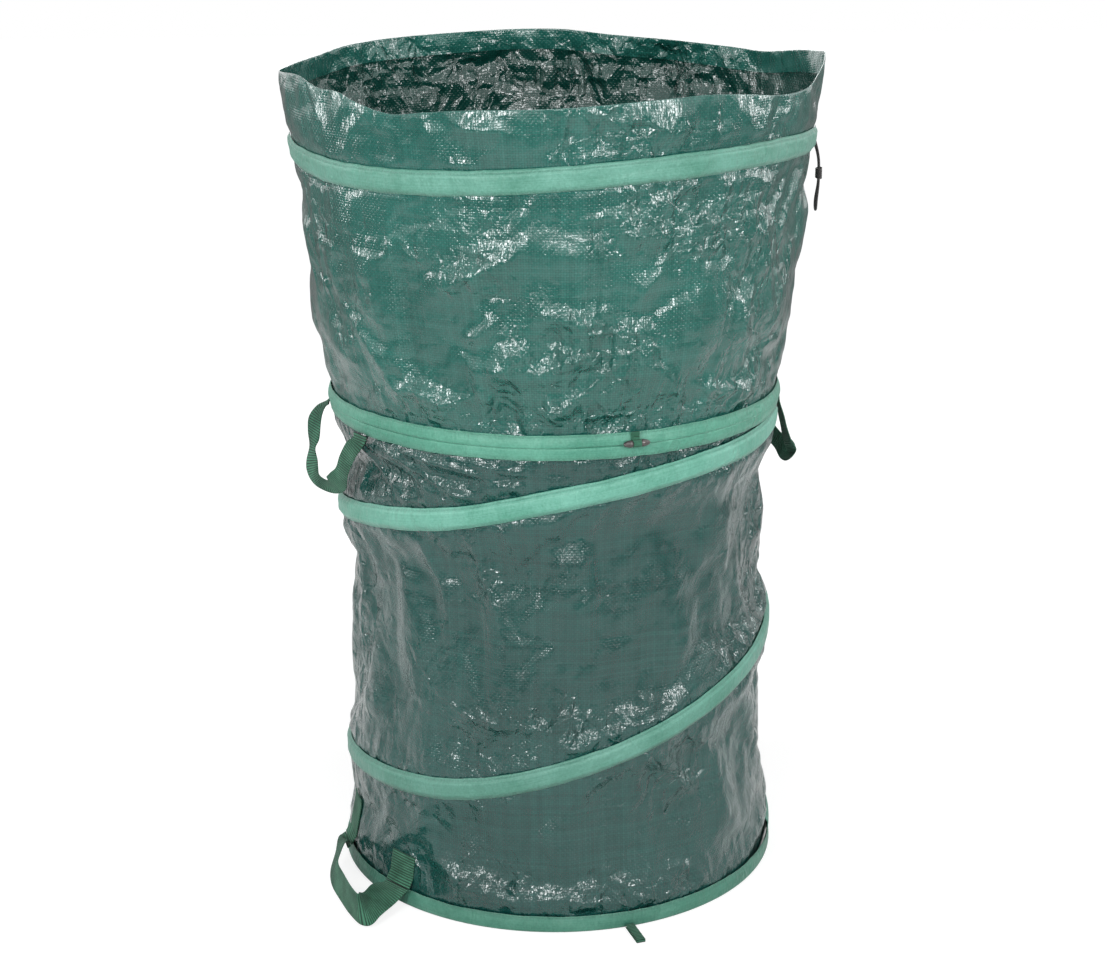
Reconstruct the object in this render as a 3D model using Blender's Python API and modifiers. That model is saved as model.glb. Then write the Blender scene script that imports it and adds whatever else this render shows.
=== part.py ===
# A pop up leaf bag: a sprung wire coil sewn round a cloth tube, between a base ring and a waist ring,
# with a drawstring collar above. Metres, +Z up, origin under the middle of the base.
# An azimuth counts degrees clockwise seen from above: 0 is right (+X), 90 is the front (-Y).

import math

import bmesh
import bpy
from mathutils import Matrix, Vector

COLLECTION_NAME = "pop_up_leaf_bag"

# Cloth, tape and wire
GAP = 0.0003
CLOTH = 0.0006
TAPE = 0.0008
WIRE_DIAMETER = 0.0035
WEBBING = 0.0014
RIBBON = 0.0008

# Rings
RING_RADIUS = 0.250
WAIST_HEIGHT = 0.5475
BASE_SLEEVE_TALL = 0.018
WAIST_SLEEVE_TALL = 0.0135
BINDING_TALL = 0.0137

# Ferrules that crimp the coil's ends to the rings
FERRULE_WALL = 0.0005
FERRULE_PLAY = 0.0003
FERRULE_LONG = 0.018

# Coil and its sleeve
COIL_TOP_ANGLE = -9.0
COIL_BOTTOM_ANGLE = 747.0
COIL_DRAW_IN = 0.0045
COIL_EASE_AFTER = 60.0
COIL_EASE_ANGLE = 60.0
COIL_SLEEVE_TALL = 0.025
COIL_SLEEVE_START = 9.0
COIL_SLEEVE_END = 729.0
COIL_SHOULDER_SHARE = 0.4
WIRE_PLAY = 0.0006
# (share of the coil's angle, share of its drop), from the waist ring down
COIL_STATION_SHARES = (
    (0.000, 0.000),
    (0.037, 0.036),
    (0.085, 0.054),
    (0.130, 0.095),
    (0.168, 0.148),
    (0.210, 0.190),
    (0.488, 0.479),
    (0.541, 0.552),
    (0.591, 0.641),
    (0.641, 0.721),
    (0.686, 0.753),
    (0.806, 0.827),
    (0.938, 0.939),
    (1.000, 1.000),
)

# Wall cloth, which draws in between the rings and the coil
WALL_DRAW_LOW = 0.004
WALL_DRAW_HIGH = 0.020
WALL_DRAW_REACH = 0.035
WALL_BLEND = 0.004
WALL_EDGE_CLEAR = 0.001

# Collar
COLLAR_FLARE = 0.0327
COLLAR_CORNER = 0.0125
COLLAR_GATHER_SHARE = 0.05
COLLAR_GATHER_TALL_SHARE = 0.07
COLLAR_CORNER_POWER = 1.5
RIM_HEIGHT = 0.9025
RIM_SIDE_TILT = 0.007
RIM_FRONT_TILT = 0.0085
# How far the rim's edge rises and dips round the bag: (share of the turn, share of the wave)
RIM_WAVE = 0.0175
RIM_WAVE_SHARES = (
    (0.000, 0.25),
    (0.028, -0.45),
    (0.057, -1.00),
    (0.094, -0.90),
    (0.132, -0.33),
    (0.165, 0.00),
    (0.250, -0.09),
    (0.295, -0.13),
    (0.324, -0.33),
    (0.346, -0.55),
    (0.372, -0.10),
    (0.388, 0.34),
    (0.410, 0.36),
    (0.433, 0.78),
    (0.474, 0.45),
    (0.500, 0.20),
    (0.560, 0.09),
    (0.603, 0.29),
    (0.690, 0.16),
    (0.755, 0.00),
    (0.790, -0.41),
    (0.843, -0.73),
    (0.883, -0.87),
    (0.913, -0.86),
    (0.955, -0.30),
    (1.000, 0.25),
)
COLLAR_SPLIT_DROP = 0.003
HEM_TALL = 0.024
HEM_GAP = 0.0006

# Main folds of the slack cloth, which stand out of the wall and the collar
FOLD_DEPTH = 0.0075
FOLD_CLEAR = 0.036
FOLD_REACH = 0.030
FOLD_COUNT = 9
FOLD_SECOND_COUNT = 14
FOLD_SLANT_SHARE = 1.5

# Drawstring casing and cord
CASING_TALL = 0.025
CASING_DROP = 0.079
CASING_WAVE = 0.0085
CASING_END_ANGLE = 3.5
CORD_DIAMETER = 0.0028
CORD_END_ANGLE = 2.8
KNOT_DROP = 0.0405
KNOT_LONG = 0.013
KNOT_WALL = 0.0016
KNOT_X = 0.2888
STRAND_SPACING = 0.0032
# The cord's free route, in metres: out of the casing, down to the knot, round its loop and back
TAIL_ROUTE = (
    (0.2820, -0.0068, 0.8232),
    (0.2832, -0.0048, 0.8194),
    (0.2850, -0.0037, 0.8135),
    (0.2868, -0.0029, 0.8065),
    (0.2882, -0.0021, 0.7990),
    (0.2888, -0.0016, 0.7912),
    (0.2888, -0.0016, 0.7830),
    (0.2888, -0.0017, 0.7755),
    (0.2884, -0.0029, 0.7690),
    (0.2876, -0.0047, 0.7624),
    (0.2868, -0.0061, 0.7557),
    (0.2864, -0.0066, 0.7500),
    (0.2863, -0.0048, 0.7451),
    (0.2863, 0.0000, 0.7429),
    (0.2863, 0.0048, 0.7451),
    (0.2864, 0.0066, 0.7500),
    (0.2868, 0.0061, 0.7557),
    (0.2876, 0.0047, 0.7624),
    (0.2884, 0.0029, 0.7690),
    (0.2888, 0.0017, 0.7755),
    (0.2888, 0.0016, 0.7830),
    (0.2888, 0.0016, 0.7912),
    (0.2882, 0.0021, 0.7987),
    (0.2868, 0.0029, 0.8058),
    (0.2850, 0.0037, 0.8122),
    (0.2832, 0.0048, 0.8177),
    (0.2820, 0.0068, 0.8215),
)

# Waist handles
HANDLE_WEBBING_WIDE = 0.025
HANDLE_DROP = 0.085
HANDLE_STAND_OFF = 0.030
LEFT_HANDLE_ANGLES = (145.0, 178.0)
RIGHT_HANDLE_ANGLES = (-29.5, -2.5)
# Each station: share of the way from the middle to an end, share of the stand-off, share of the
# drop, then the direction of the webbing's width along the ring, outward and up
LEFT_HANDLE_SHARES = (
    (-1.00, 0.00, 0.00, 1.00, 0.00, 0.00),
    (-0.99, 0.04, 0.08, 1.00, 0.00, 0.00),
    (-0.88, 0.24, 0.20, 0.91, 0.21, 0.36),
    (-0.75, 0.41, 0.38, 0.94, 0.28, 0.21),
    (-0.63, 0.53, 0.58, 0.93, 0.30, 0.22),
    (-0.40, 0.64, 0.77, 0.22, 0.62, 0.75),
    (-0.01, 0.82, 0.87, -0.77, -0.14, 0.62),
    (0.25, 1.02, 0.84, -0.85, -0.16, 0.50),
    (0.42, 1.04, 0.75, -0.87, -0.31, 0.37),
    (0.50, 1.00, 0.65, -0.93, -0.28, 0.24),
    (0.59, 0.92, 0.50, -0.99, -0.02, 0.13),
    (0.66, 0.82, 0.35, -0.93, -0.28, -0.15),
    (0.76, 0.70, 0.18, -0.95, -0.31, -0.08),
    (0.87, 0.45, 0.08, -0.96, 0.00, -0.15),
    (0.98, 0.15, 0.03, -1.00, 0.00, 0.00),
    (1.00, 0.00, 0.00, -1.00, 0.00, 0.00),
)
RIGHT_HANDLE_SHARES = (
    (-1.00, 0.00, 0.00, 1.00, 0.00, 0.00),
    (-1.00, 0.04, 0.10, 1.00, 0.00, 0.00),
    (-0.80, 0.32, 0.40, 0.80, 0.10, 0.50),
    (-0.50, 0.60, 0.66, 0.65, 0.12, 0.72),
    (-0.22, 0.80, 0.82, 0.61, 0.12, 0.79),
    (0.02, 0.95, 0.91, 0.50, 0.20, 0.80),
    (0.40, 1.05, 0.98, -0.40, 0.60, 0.50),
    (0.70, 0.90, 0.89, -0.92, 0.00, -0.30),
    (0.82, 0.59, 0.70, -0.98, 0.00, -0.20),
    (0.93, 0.35, 0.49, -0.96, 0.11, -0.20),
    (1.00, 0.16, 0.28, -0.97, 0.10, 0.00),
    (1.00, 0.04, 0.10, -1.00, 0.00, 0.00),
    (1.00, 0.00, 0.00, -1.00, 0.00, 0.00),
)

# Base handle
BASE_WEBBING_WIDE = 0.038
BASE_HANDLE_ANGLES = (135.5, 166.0)
BASE_HANDLE_REACH = 0.063
BASE_SEAT_HEIGHT = 0.0205
FRONT_PATCH_TOP = 0.056
REAR_PATCH_TOP = 0.075
PATCH_FLARE_TALL = 0.010
# As the waist handles' stations, with the height as a share of the webbing's half width
BASE_HANDLE_SHARES = (
    (-1.00, 0.00, 1.08, 1.00, 0.00, 0.00),
    (-1.03, 0.10, 1.02, 1.00, 0.00, 0.00),
    (-1.12, 0.34, 0.98, 0.88, 0.28, 0.30),
    (-1.30, 0.66, 0.88, 0.92, 0.12, 0.38),
    (-1.48, 0.94, 1.10, 0.10, 0.07, 1.00),
    (-1.12, 0.95, 1.08, -0.15, 0.02, 0.98),
    (-0.60, 0.88, 1.10, -0.25, -0.02, 0.96),
    (-0.12, 0.79, 1.12, -0.40, -0.04, 0.90),
    (0.22, 0.62, 1.25, -0.56, -0.09, 0.82),
    (0.52, 0.38, 1.55, -0.75, 0.01, 0.66),
    (0.80, 0.18, 1.50, -0.92, 0.05, 0.30),
    (0.96, 0.08, 1.08, -1.00, 0.00, 0.00),
    (1.00, 0.00, 1.08, -1.00, 0.00, 0.00),
)

# Toggle, its loop and the closing loop
TOGGLE_ANGLE = 71.0
TOGGLE_LONG = 0.029
TOGGLE_DIAMETER = 0.0088
TOGGLE_WAIST_SHARE = 0.62
TOGGLE_LOOP_WIDE = 0.009
TOGGLE_DROP = 0.0115
CLOSING_ANGLE = 72.0
CLOSING_WIDE = 0.010
CLOSING_REACH = 0.036
CLOSING_OPEN = 0.0022

# Fineness
COLUMNS = 40
CLOTH_COLUMNS = 2 * COLUMNS
WALL_ROWS = 16
COLLAR_ROWS = 9
STRAP_STEPS = 30

# Worked out from the sizes above
STEP_ANGLE = 360.0 / COLUMNS
RING_WIRE_RADIUS = RING_RADIUS - TAPE - GAP - FERRULE_WALL - FERRULE_PLAY - WIRE_DIAMETER / 2
WALL_EDGE_RADIUS = RING_WIRE_RADIUS - WIRE_DIAMETER / 2 - GAP - CLOTH / 2
OUTER_LEG_RADIUS = RING_RADIUS - TAPE / 2
INNER_LEG_RADIUS = WALL_EDGE_RADIUS - CLOTH / 2 - GAP - TAPE / 2
FERRULE_MARGIN = FERRULE_WALL + FERRULE_PLAY
FERRULE_TALL = 2 * WIRE_DIAMETER + FERRULE_PLAY + 2 * FERRULE_MARGIN
WIRE_PITCH = WIRE_DIAMETER + FERRULE_PLAY
BASE_WIRE_HEIGHT = TAPE + GAP + FERRULE_MARGIN + WIRE_DIAMETER / 2
WAIST_WIRE_HEIGHT = WAIST_HEIGHT - BASE_WIRE_HEIGHT
COIL_TOP_HEIGHT = WAIST_WIRE_HEIGHT - WIRE_PITCH
COIL_BOTTOM_HEIGHT = BASE_WIRE_HEIGHT + WIRE_PITCH
WAIST_SLEEVE_BOTTOM = WAIST_HEIGHT - WAIST_SLEEVE_TALL
WALL_BOTTOM = TAPE + GAP + FERRULE_TALL + GAP
WALL_TOP = WAIST_HEIGHT - WALL_BOTTOM
BINDING_BOTTOM = WAIST_HEIGHT + GAP
BINDING_TOP = BINDING_BOTTOM + BINDING_TALL
COLLAR_FOOT = BINDING_BOTTOM + TAPE + GAP
COLLAR_FOOT_RADIUS = (OUTER_LEG_RADIUS + INNER_LEG_RADIUS) / 2
COIL_CLEARANCE = WIRE_DIAMETER / 2 + WIRE_PLAY
CASING_HEIGHT = RIM_HEIGHT - CASING_DROP
COLLAR_SPLIT_HEIGHT = CASING_HEIGHT - COLLAR_SPLIT_DROP
KNOT_HEIGHT = CASING_HEIGHT - KNOT_DROP
SEAT_RADIUS = RING_RADIUS + GAP + WEBBING / 2


def clear_scene():
    for item in list(bpy.data.objects):
        bpy.data.objects.remove(item, do_unlink=True)


def make_collection():
    collection = bpy.data.collections.new(COLLECTION_NAME)
    bpy.context.scene.collection.children.link(collection)
    return collection


def make_material(name, colour, roughness, metallic=0.0):
    material = bpy.data.materials.new(name)
    material.use_nodes = True
    shader = material.node_tree.nodes["Principled BSDF"]
    shader.inputs["Base Color"].default_value = (*colour, 1.0)
    shader.inputs["Roughness"].default_value = roughness
    shader.inputs["Metallic"].default_value = metallic
    material.diffuse_color = (*colour, 1.0)
    return material


def spot(azimuth, radius, height):
    """The point at an azimuth in degrees, a radius from the bag's axis and a height."""
    turn = math.radians(azimuth)
    return Vector((radius * math.cos(turn), -radius * math.sin(turn), height))


def outward(azimuth):
    return spot(azimuth, 1.0, 0.0)


def along(azimuth):
    """The direction round the bag in which the azimuth grows."""
    turn = math.radians(azimuth)
    return Vector((-math.sin(turn), -math.cos(turn), 0.0))


def eased(share):
    share = min(max(share, 0.0), 1.0)
    return share * share * (3.0 - 2.0 * share)


def smooth_value(stations, at):
    """A cubic through (place, value) stations, with slopes from each station's neighbours."""
    count = len(stations)
    index = 0
    while index < count - 2 and at > stations[index + 1][0]:
        index += 1
    (x0, y0), (x1, y1) = stations[index], stations[index + 1]
    before, after = stations[max(index - 1, 0)], stations[min(index + 2, count - 1)]
    slope0 = (y1 - before[1]) / (x1 - before[0])
    slope1 = (after[1] - y0) / (after[0] - x0)
    span = x1 - x0
    s = min(max((at - x0) / span, 0.0), 1.0)
    return (
        (2 * s**3 - 3 * s**2 + 1) * y0
        + (s**3 - 2 * s**2 + s) * span * slope0
        + (3 * s**2 - 2 * s**3) * y1
        + (s**3 - s**2) * span * slope1
    )


def add_object(name, data, material):
    item = bpy.data.objects.new(name, data)
    PARTS.objects.link(item)
    item.data.materials.append(material)
    return item


def shade(item):
    item.data.shade_smooth()
    item.data.set_sharp_from_angle(angle=math.radians(35))


def put_origin(item, origin):
    """Moves an object's origin to a point and leaves its shape where it is."""
    for vertex in item.data.vertices:
        vertex.co -= origin
    item.location = origin


def add_solidify(item, thickness):
    solid = item.modifiers.new("thickness", "SOLIDIFY")
    solid.thickness = thickness
    solid.offset = 0.0
    solid.use_even_offset = True


def sheet(name, columns, rows, place, thickness, material, closed=False, origin=None):
    """A grid laid on the surface place(column share, row share) and given a thickness."""
    grid = bmesh.new()
    bmesh.ops.create_grid(grid, x_segments=columns, y_segments=rows, size=0.5)
    for vertex in grid.verts:
        vertex.co = place(vertex.co.x + 0.5, vertex.co.y + 0.5)
    if closed:
        bmesh.ops.remove_doubles(grid, verts=grid.verts[:], dist=GAP / 4)
    mesh = bpy.data.meshes.new(name)
    grid.to_mesh(mesh)
    grid.free()
    item = add_object(name, mesh, material)
    if origin is not None:
        put_origin(item, origin)
    shade(item)
    add_solidify(item, thickness)
    return item


def turned(name, profile, steps, material, thickness=0.0):
    """A profile of (radius, height) points turned about Z. A thickness makes a shell of it."""
    mesh = bpy.data.meshes.new(name)
    shape = bmesh.new()
    points = [shape.verts.new((radius, 0.0, height)) for radius, height in profile]
    for first, second in zip(points, points[1:]):
        shape.edges.new((first, second))
    shape.to_mesh(mesh)
    shape.free()
    item = add_object(name, mesh, material)
    screw = item.modifiers.new("turn", "SCREW")
    screw.steps = steps
    screw.render_steps = steps
    screw.use_merge_vertices = True
    screw.merge_threshold = 0.00005
    if thickness:
        add_solidify(item, thickness)
    return item


def tube(name, points, diameter, material, cyclic=False, fineness=1, origin=None):
    """A round wire or cord along points, as a curve with a bevel depth."""
    curve = bpy.data.curves.new(name, "CURVE")
    curve.dimensions = "3D"
    curve.bevel_depth = diameter / 2
    curve.bevel_resolution = fineness
    curve.use_fill_caps = not cyclic
    spline = curve.splines.new("POLY")
    spline.points.add(len(points) - 1)
    base = origin if origin is not None else Vector((0.0, 0.0, 0.0))
    for target, point in zip(spline.points, points):
        target.co = (*(point - base), 1.0)
    spline.use_cyclic_u = cyclic
    spline.use_smooth = True
    item = add_object(name, curve, material)
    item.location = base
    return item


def stadium(width, height, steps=5):
    """The outline of a slot with round ends, taller than it is wide."""
    radius = width / 2
    straight = height / 2 - radius
    points = []
    for end in (0, 1):
        lift = straight if end == 0 else -straight
        for step in range(steps + 1):
            turn = math.pi * (end + step / steps)
            points.append((radius * math.cos(turn), radius * math.sin(turn) + lift))
    return points


def oval_sleeve(name, bore_wide, bore_tall, wall, length, place, towards, up, material, origin=None):
    """A short oval tube: a slot outline with a slot bore, extruded along a direction."""
    curve = bpy.data.curves.new(name, "CURVE")
    curve.dimensions = "2D"
    curve.fill_mode = "BOTH"
    curve.extrude = length / 2
    outer = stadium(bore_wide + 2 * wall, bore_tall + 2 * wall)
    bore = stadium(bore_wide, bore_tall)
    for outline in (outer, bore):
        spline = curve.splines.new("POLY")
        spline.points.add(len(outline) - 1)
        for target, (x, y) in zip(spline.points, outline):
            target.co = (x, y, 0.0, 1.0)
        spline.use_cyclic_u = True
    item = add_object(name, curve, material)
    side = up.cross(towards)
    item.rotation_mode = "QUATERNION"
    axes = [side.normalized(), up.normalized(), towards.normalized()]
    item.rotation_quaternion = matrix_of(axes).to_quaternion()
    item.location = place
    return item


def matrix_of(axes):
    return Matrix(axes).transposed()


def ring_points(radius, height):
    return [spot(STEP_ANGLE * index, radius, height) for index in range(COLUMNS)]


def coil_height(angle):
    span = COIL_BOTTOM_ANGLE - COIL_TOP_ANGLE
    share = min(max((angle - COIL_TOP_ANGLE) / span, 0.0), 1.0)
    drop = COIL_TOP_HEIGHT - COIL_BOTTOM_HEIGHT
    return COIL_TOP_HEIGHT - drop * smooth_value(COIL_STATION_SHARES, share)


def coil_radius(angle):
    from_top = angle - COIL_TOP_ANGLE - COIL_EASE_AFTER
    from_bottom = COIL_BOTTOM_ANGLE - angle - COIL_EASE_AFTER
    share = eased(from_top / COIL_EASE_ANGLE) * eased(from_bottom / COIL_EASE_ANGLE)
    return RING_WIRE_RADIUS - COIL_DRAW_IN * share


def coil_passes(azimuth):
    """The coil's angles at an azimuth, one for each time it passes there."""
    start = azimuth % 360.0 - 360.0
    angles = [start + 360.0 * turn for turn in range(4)]
    return [angle for angle in angles if COIL_TOP_ANGLE <= angle <= COIL_BOTTOM_ANGLE]


def wall_radius(azimuth, height):
    """The middle of the wall cloth: out at the rings and the coil, drawn in between them."""
    supports = [
        (0.0, BASE_SLEEVE_TALL, WALL_EDGE_RADIUS),
        (WAIST_SLEEVE_BOTTOM, WAIST_HEIGHT, WALL_EDGE_RADIUS),
    ]
    half = COIL_SLEEVE_TALL / 2
    for angle in coil_passes(azimuth):
        middle = coil_height(angle)
        seat = coil_radius(angle) - COIL_CLEARANCE - CLOTH / 2
        supports.append((middle - half, middle + half, seat))
    away = [max(low - height, height - high, 0.0) for low, high, _ in supports]
    weights = [1.0 / (distance + WALL_BLEND) ** 2 for distance in away]
    radius = sum(w * s[2] for w, s in zip(weights, supports)) / sum(weights)
    draw_share = height / WAIST_HEIGHT
    draw = WALL_DRAW_LOW + (WALL_DRAW_HIGH - WALL_DRAW_LOW) * draw_share
    radius -= draw * (1.0 - math.exp(-((min(away) / WALL_DRAW_REACH) ** 2)))
    touching = [s[2] for s, distance in zip(supports, away) if distance == 0.0]
    return min([radius, *touching])


def wall_heights():
    low = BASE_SLEEVE_TALL + WALL_EDGE_CLEAR
    high = WAIST_SLEEVE_BOTTOM - WALL_EDGE_CLEAR
    inner = WALL_ROWS - 2
    middle = [low + (high - low) * index / inner for index in range(inner + 1)]
    return [WALL_BOTTOM, *middle, WALL_TOP]


WALL_HEIGHTS = wall_heights()


def fold(azimuth, height, away):
    """How far the main folds stand out, at a distance from what holds the cloth."""
    turn = math.radians(azimuth)
    slant = math.tau * FOLD_SLANT_SHARE * height / WAIST_HEIGHT
    waves = math.sin(FOLD_COUNT * turn + slant) + math.sin(FOLD_SECOND_COUNT * turn - slant)
    return FOLD_DEPTH * max(waves, 0.0) / 2 * eased((away - FOLD_CLEAR) / FOLD_REACH)


def wall_slack(azimuth, height):
    """The distance from a place on the wall to the nearest ring, coil sleeve or patch."""
    away = [height - BASE_SLEEVE_TALL, WAIST_SLEEVE_BOTTOM - height]
    for angle in coil_passes(azimuth):
        away.append(abs(height - coil_height(angle)) - COIL_SLEEVE_TALL / 2)
    for angle, top in zip(BASE_HANDLE_ANGLES, (FRONT_PATCH_TOP, REAR_PATCH_TOP)):
        beside = abs((azimuth - angle + 180.0) % 360.0 - 180.0)
        sideways = WALL_EDGE_RADIUS * math.radians(beside) - BASE_WEBBING_WIDE
        away.append(max(sideways, height - top))
    return max(min(away), 0.0)


def collar_slack(azimuth, height):
    casing_bottom = casing_height(azimuth) - CASING_TALL / 2
    return max(min(height - BINDING_TOP, casing_bottom - height), 0.0)


def cloth_spot(column, radius_at, height, slack):
    """A place on a cloth of twice the usual columns, whose odd ones lie on the chord between."""
    azimuth = 360.0 * column
    index = round(column * CLOTH_COLUMNS)
    if index % 2:
        before, after = azimuth - STEP_ANGLE / 2, azimuth + STEP_ANGLE / 2
        place = spot(before, radius_at(before), height).lerp(spot(after, radius_at(after), height), 0.5)
    else:
        place = spot(azimuth, radius_at(azimuth), height)
    return place + outward(azimuth) * fold(azimuth, height, slack(azimuth, height))


def wall_row_radius(azimuth, row):
    if row <= 1 or row >= WALL_ROWS - 1:
        return WALL_EDGE_RADIUS
    return wall_radius(azimuth, WALL_HEIGHTS[row])


def wall_surface(azimuth, height):
    """The wall's radius where its rows really run, straight from one row to the next."""
    row = 0
    while row < WALL_ROWS - 1 and height > WALL_HEIGHTS[row + 1]:
        row += 1
    low, high = WALL_HEIGHTS[row], WALL_HEIGHTS[row + 1]
    share = min(max((height - low) / (high - low), 0.0), 1.0)
    lower, upper = wall_row_radius(azimuth, row), wall_row_radius(azimuth, row + 1)
    return lower + (upper - lower) * share


def rim_height(azimuth):
    turn = math.radians(azimuth)
    wave = RIM_WAVE * smooth_value(RIM_WAVE_SHARES, azimuth / 360.0 % 1.0)
    return RIM_HEIGHT + RIM_SIDE_TILT * math.cos(turn) - RIM_FRONT_TILT * math.sin(turn) + wave


def collar_radius(azimuth, height):
    """The middle of the collar cloth: round at the waist, with a corner at each side above."""
    share = (height - BINDING_TOP) / (RIM_HEIGHT - BINDING_TOP)
    share = max(share, 0.0)
    gather = COLLAR_GATHER_SHARE * min(share / COLLAR_GATHER_TALL_SHARE, 1.0)
    spread = gather + (1.0 - COLLAR_GATHER_SHARE) * share
    corner = (1.0 - abs(math.sin(math.radians(azimuth)))) ** 2
    point = COLLAR_CORNER * corner * share**COLLAR_CORNER_POWER
    return COLLAR_FOOT_RADIUS + COLLAR_FLARE * spread + point


def casing_height(azimuth):
    return CASING_HEIGHT + CASING_WAVE * math.sin(math.radians(2 * azimuth))


def cord_radius(azimuth):
    return collar_radius(azimuth, casing_height(azimuth)) + CLOTH / 2 + GAP + CORD_DIAMETER / 2


def catmull(points, steps):
    """Points spread evenly along a smooth curve through the given vectors."""
    fine = []
    padded = [points[0] * 2 - points[1], *points, points[-1] * 2 - points[-2]]
    per_span = 12
    for index in range(len(points) - 1):
        a, b, c, d = padded[index : index + 4]
        for step in range(per_span):
            s = step / per_span
            fine.append(
                0.5 * (2 * b + (c - a) * s + (2 * a - 5 * b + 4 * c - d) * s**2)
                + 0.5 * (3 * b - a - 3 * c + d) * s**3
            )
    fine.append(points[-1])
    lengths = [0.0]
    for first, second in zip(fine, fine[1:]):
        lengths.append(lengths[-1] + (second - first).length)
    even = []
    index = 0
    for step in range(steps + 1):
        target = lengths[-1] * step / steps
        while index < len(fine) - 2 and lengths[index + 1] < target:
            index += 1
        span = lengths[index + 1] - lengths[index]
        share = (target - lengths[index]) / span if span else 0.0
        even.append(fine[index].lerp(fine[index + 1], share))
    return even


def strap(name, stations, width, thickness, steps, material, origin):
    """Flat webbing through (middle, width direction) stations."""
    mixed = catmull_pairs(stations, steps)

    def place(column, row):
        middle, across = mixed[round(column * steps)]
        return middle + across.normalized() * width * (row - 0.5)

    return sheet(name, steps, 2, place, thickness, material, origin=origin)


def catmull_pairs(stations, steps):
    """The middles and width directions at even steps, both on the same smooth curve."""
    count = len(stations)
    dense = 12 * (count - 1)
    middles, widths = [], []
    centre = [Vector(middle) for middle, _ in stations]
    across = [Vector(width) for _, width in stations]
    for index in range(dense + 1):
        at = index / 12
        low = min(int(at), count - 2)
        s = at - low
        middles.append(cubic_at(centre, low, s))
        widths.append(cubic_at(across, low, s))
    lengths = [0.0]
    for first, second in zip(middles, middles[1:]):
        lengths.append(lengths[-1] + (second - first).length)
    pairs = []
    index = 0
    for step in range(steps + 1):
        target = lengths[-1] * step / steps
        while index < dense - 1 and lengths[index + 1] < target:
            index += 1
        share = (target - lengths[index]) / (lengths[index + 1] - lengths[index])
        middle = middles[index].lerp(middles[index + 1], share)
        pairs.append((middle, widths[index].lerp(widths[index + 1], share)))
    return pairs


def cubic_at(points, low, s):
    a = points[low - 1] if low > 0 else points[0] * 2 - points[1]
    b, c = points[low], points[low + 1]
    d = points[low + 2] if low + 2 < len(points) else points[-1] * 2 - points[-2]
    return (
        0.5 * (2 * b + (c - a) * s + (2 * a - 5 * b + 4 * c - d) * s**2)
        + 0.5 * (3 * b - a - 3 * c + d) * s**3
    )


def make_folded_ring(name, bottom, top, opens_up, material):
    """Tape folded round a ring: an outer leg, a fold and an inner leg, open at top or bottom."""
    low, high = bottom + TAPE / 2, top - TAPE / 2
    fold, mouth = (low, top) if opens_up else (high, bottom)
    profile = [
        (OUTER_LEG_RADIUS, mouth),
        (OUTER_LEG_RADIUS, fold),
        (INNER_LEG_RADIUS, fold),
        (INNER_LEG_RADIUS, mouth),
    ]
    return turned(name, profile, COLUMNS, material, TAPE)


def make_rings(tape, steel):
    make_folded_ring("base_ring_sleeve", 0.0, BASE_SLEEVE_TALL, True, tape)
    make_folded_ring("waist_ring_sleeve", WAIST_SLEEVE_BOTTOM, WAIST_HEIGHT, False, tape)
    make_folded_ring("collar_binding", BINDING_BOTTOM, BINDING_TOP, True, tape)
    base = ring_points(RING_WIRE_RADIUS, BASE_WIRE_HEIGHT)
    waist = ring_points(RING_WIRE_RADIUS, WAIST_WIRE_HEIGHT)
    tube("base_ring_wire", base, WIRE_DIAMETER, steel, cyclic=True)
    tube("waist_ring_wire", waist, WIRE_DIAMETER, steel, cyclic=True)


def make_coil(tape, steel):
    first = round(COIL_TOP_ANGLE / STEP_ANGLE) - 1
    last = round(COIL_BOTTOM_ANGLE / STEP_ANGLE) + 1
    angles = [STEP_ANGLE * index for index in range(first, last + 1)]
    points = [spot(a, coil_radius(a), coil_height(a)) for a in angles]
    tube("coil_wire", points, WIRE_DIAMETER, steel)

    columns = round((COIL_SLEEVE_END - COIL_SLEEVE_START) / STEP_ANGLE)
    half = COIL_SLEEVE_TALL / 2
    shoulder = half * COIL_SHOULDER_SHARE
    crown = WIRE_DIAMETER / 2 + GAP + TAPE / 2

    def place(column, row):
        angle = COIL_SLEEVE_START + STEP_ANGLE * round(column * columns)
        middle = coil_height(angle)
        top = min(middle + half, WAIST_SLEEVE_BOTTOM - GAP)
        bottom = max(middle - half, BASE_SLEEVE_TALL + GAP)
        low = max(middle - shoulder, bottom + WIRE_PLAY)
        high = min(middle + shoulder, top - WIRE_PLAY)
        height = (bottom, low, high, top)[round(row * 3)]
        seated = wall_surface(angle, height) + CLOTH / 2 + WIRE_PLAY + TAPE / 2
        over = coil_radius(angle) + crown
        arch = min((half - abs(height - middle)) / (half - shoulder), 1.0)
        return spot(angle, seated + (over - seated) * arch, height)

    sheet("coil_sleeve", columns, 3, place, TAPE, tape)


def make_ferrules(steel):
    for name, angle, wire_height, sign in (
        ("upper_ferrule", COIL_TOP_ANGLE - STEP_ANGLE / 2, WAIST_WIRE_HEIGHT, -1),
        ("lower_ferrule", COIL_BOTTOM_ANGLE + STEP_ANGLE / 2, BASE_WIRE_HEIGHT, 1),
    ):
        facet_radius = RING_WIRE_RADIUS * math.cos(math.radians(STEP_ANGLE / 2))
        middle = spot(angle, facet_radius, wire_height + sign * WIRE_PITCH / 2)
        bore_wide = WIRE_DIAMETER + 2 * FERRULE_PLAY
        bore_tall = bore_wide + WIRE_PITCH
        up = Vector((0.0, 0.0, 1.0))
        oval_sleeve(
            name, bore_wide, bore_tall, FERRULE_WALL, FERRULE_LONG, middle, along(angle), up, steel
        )


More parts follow.
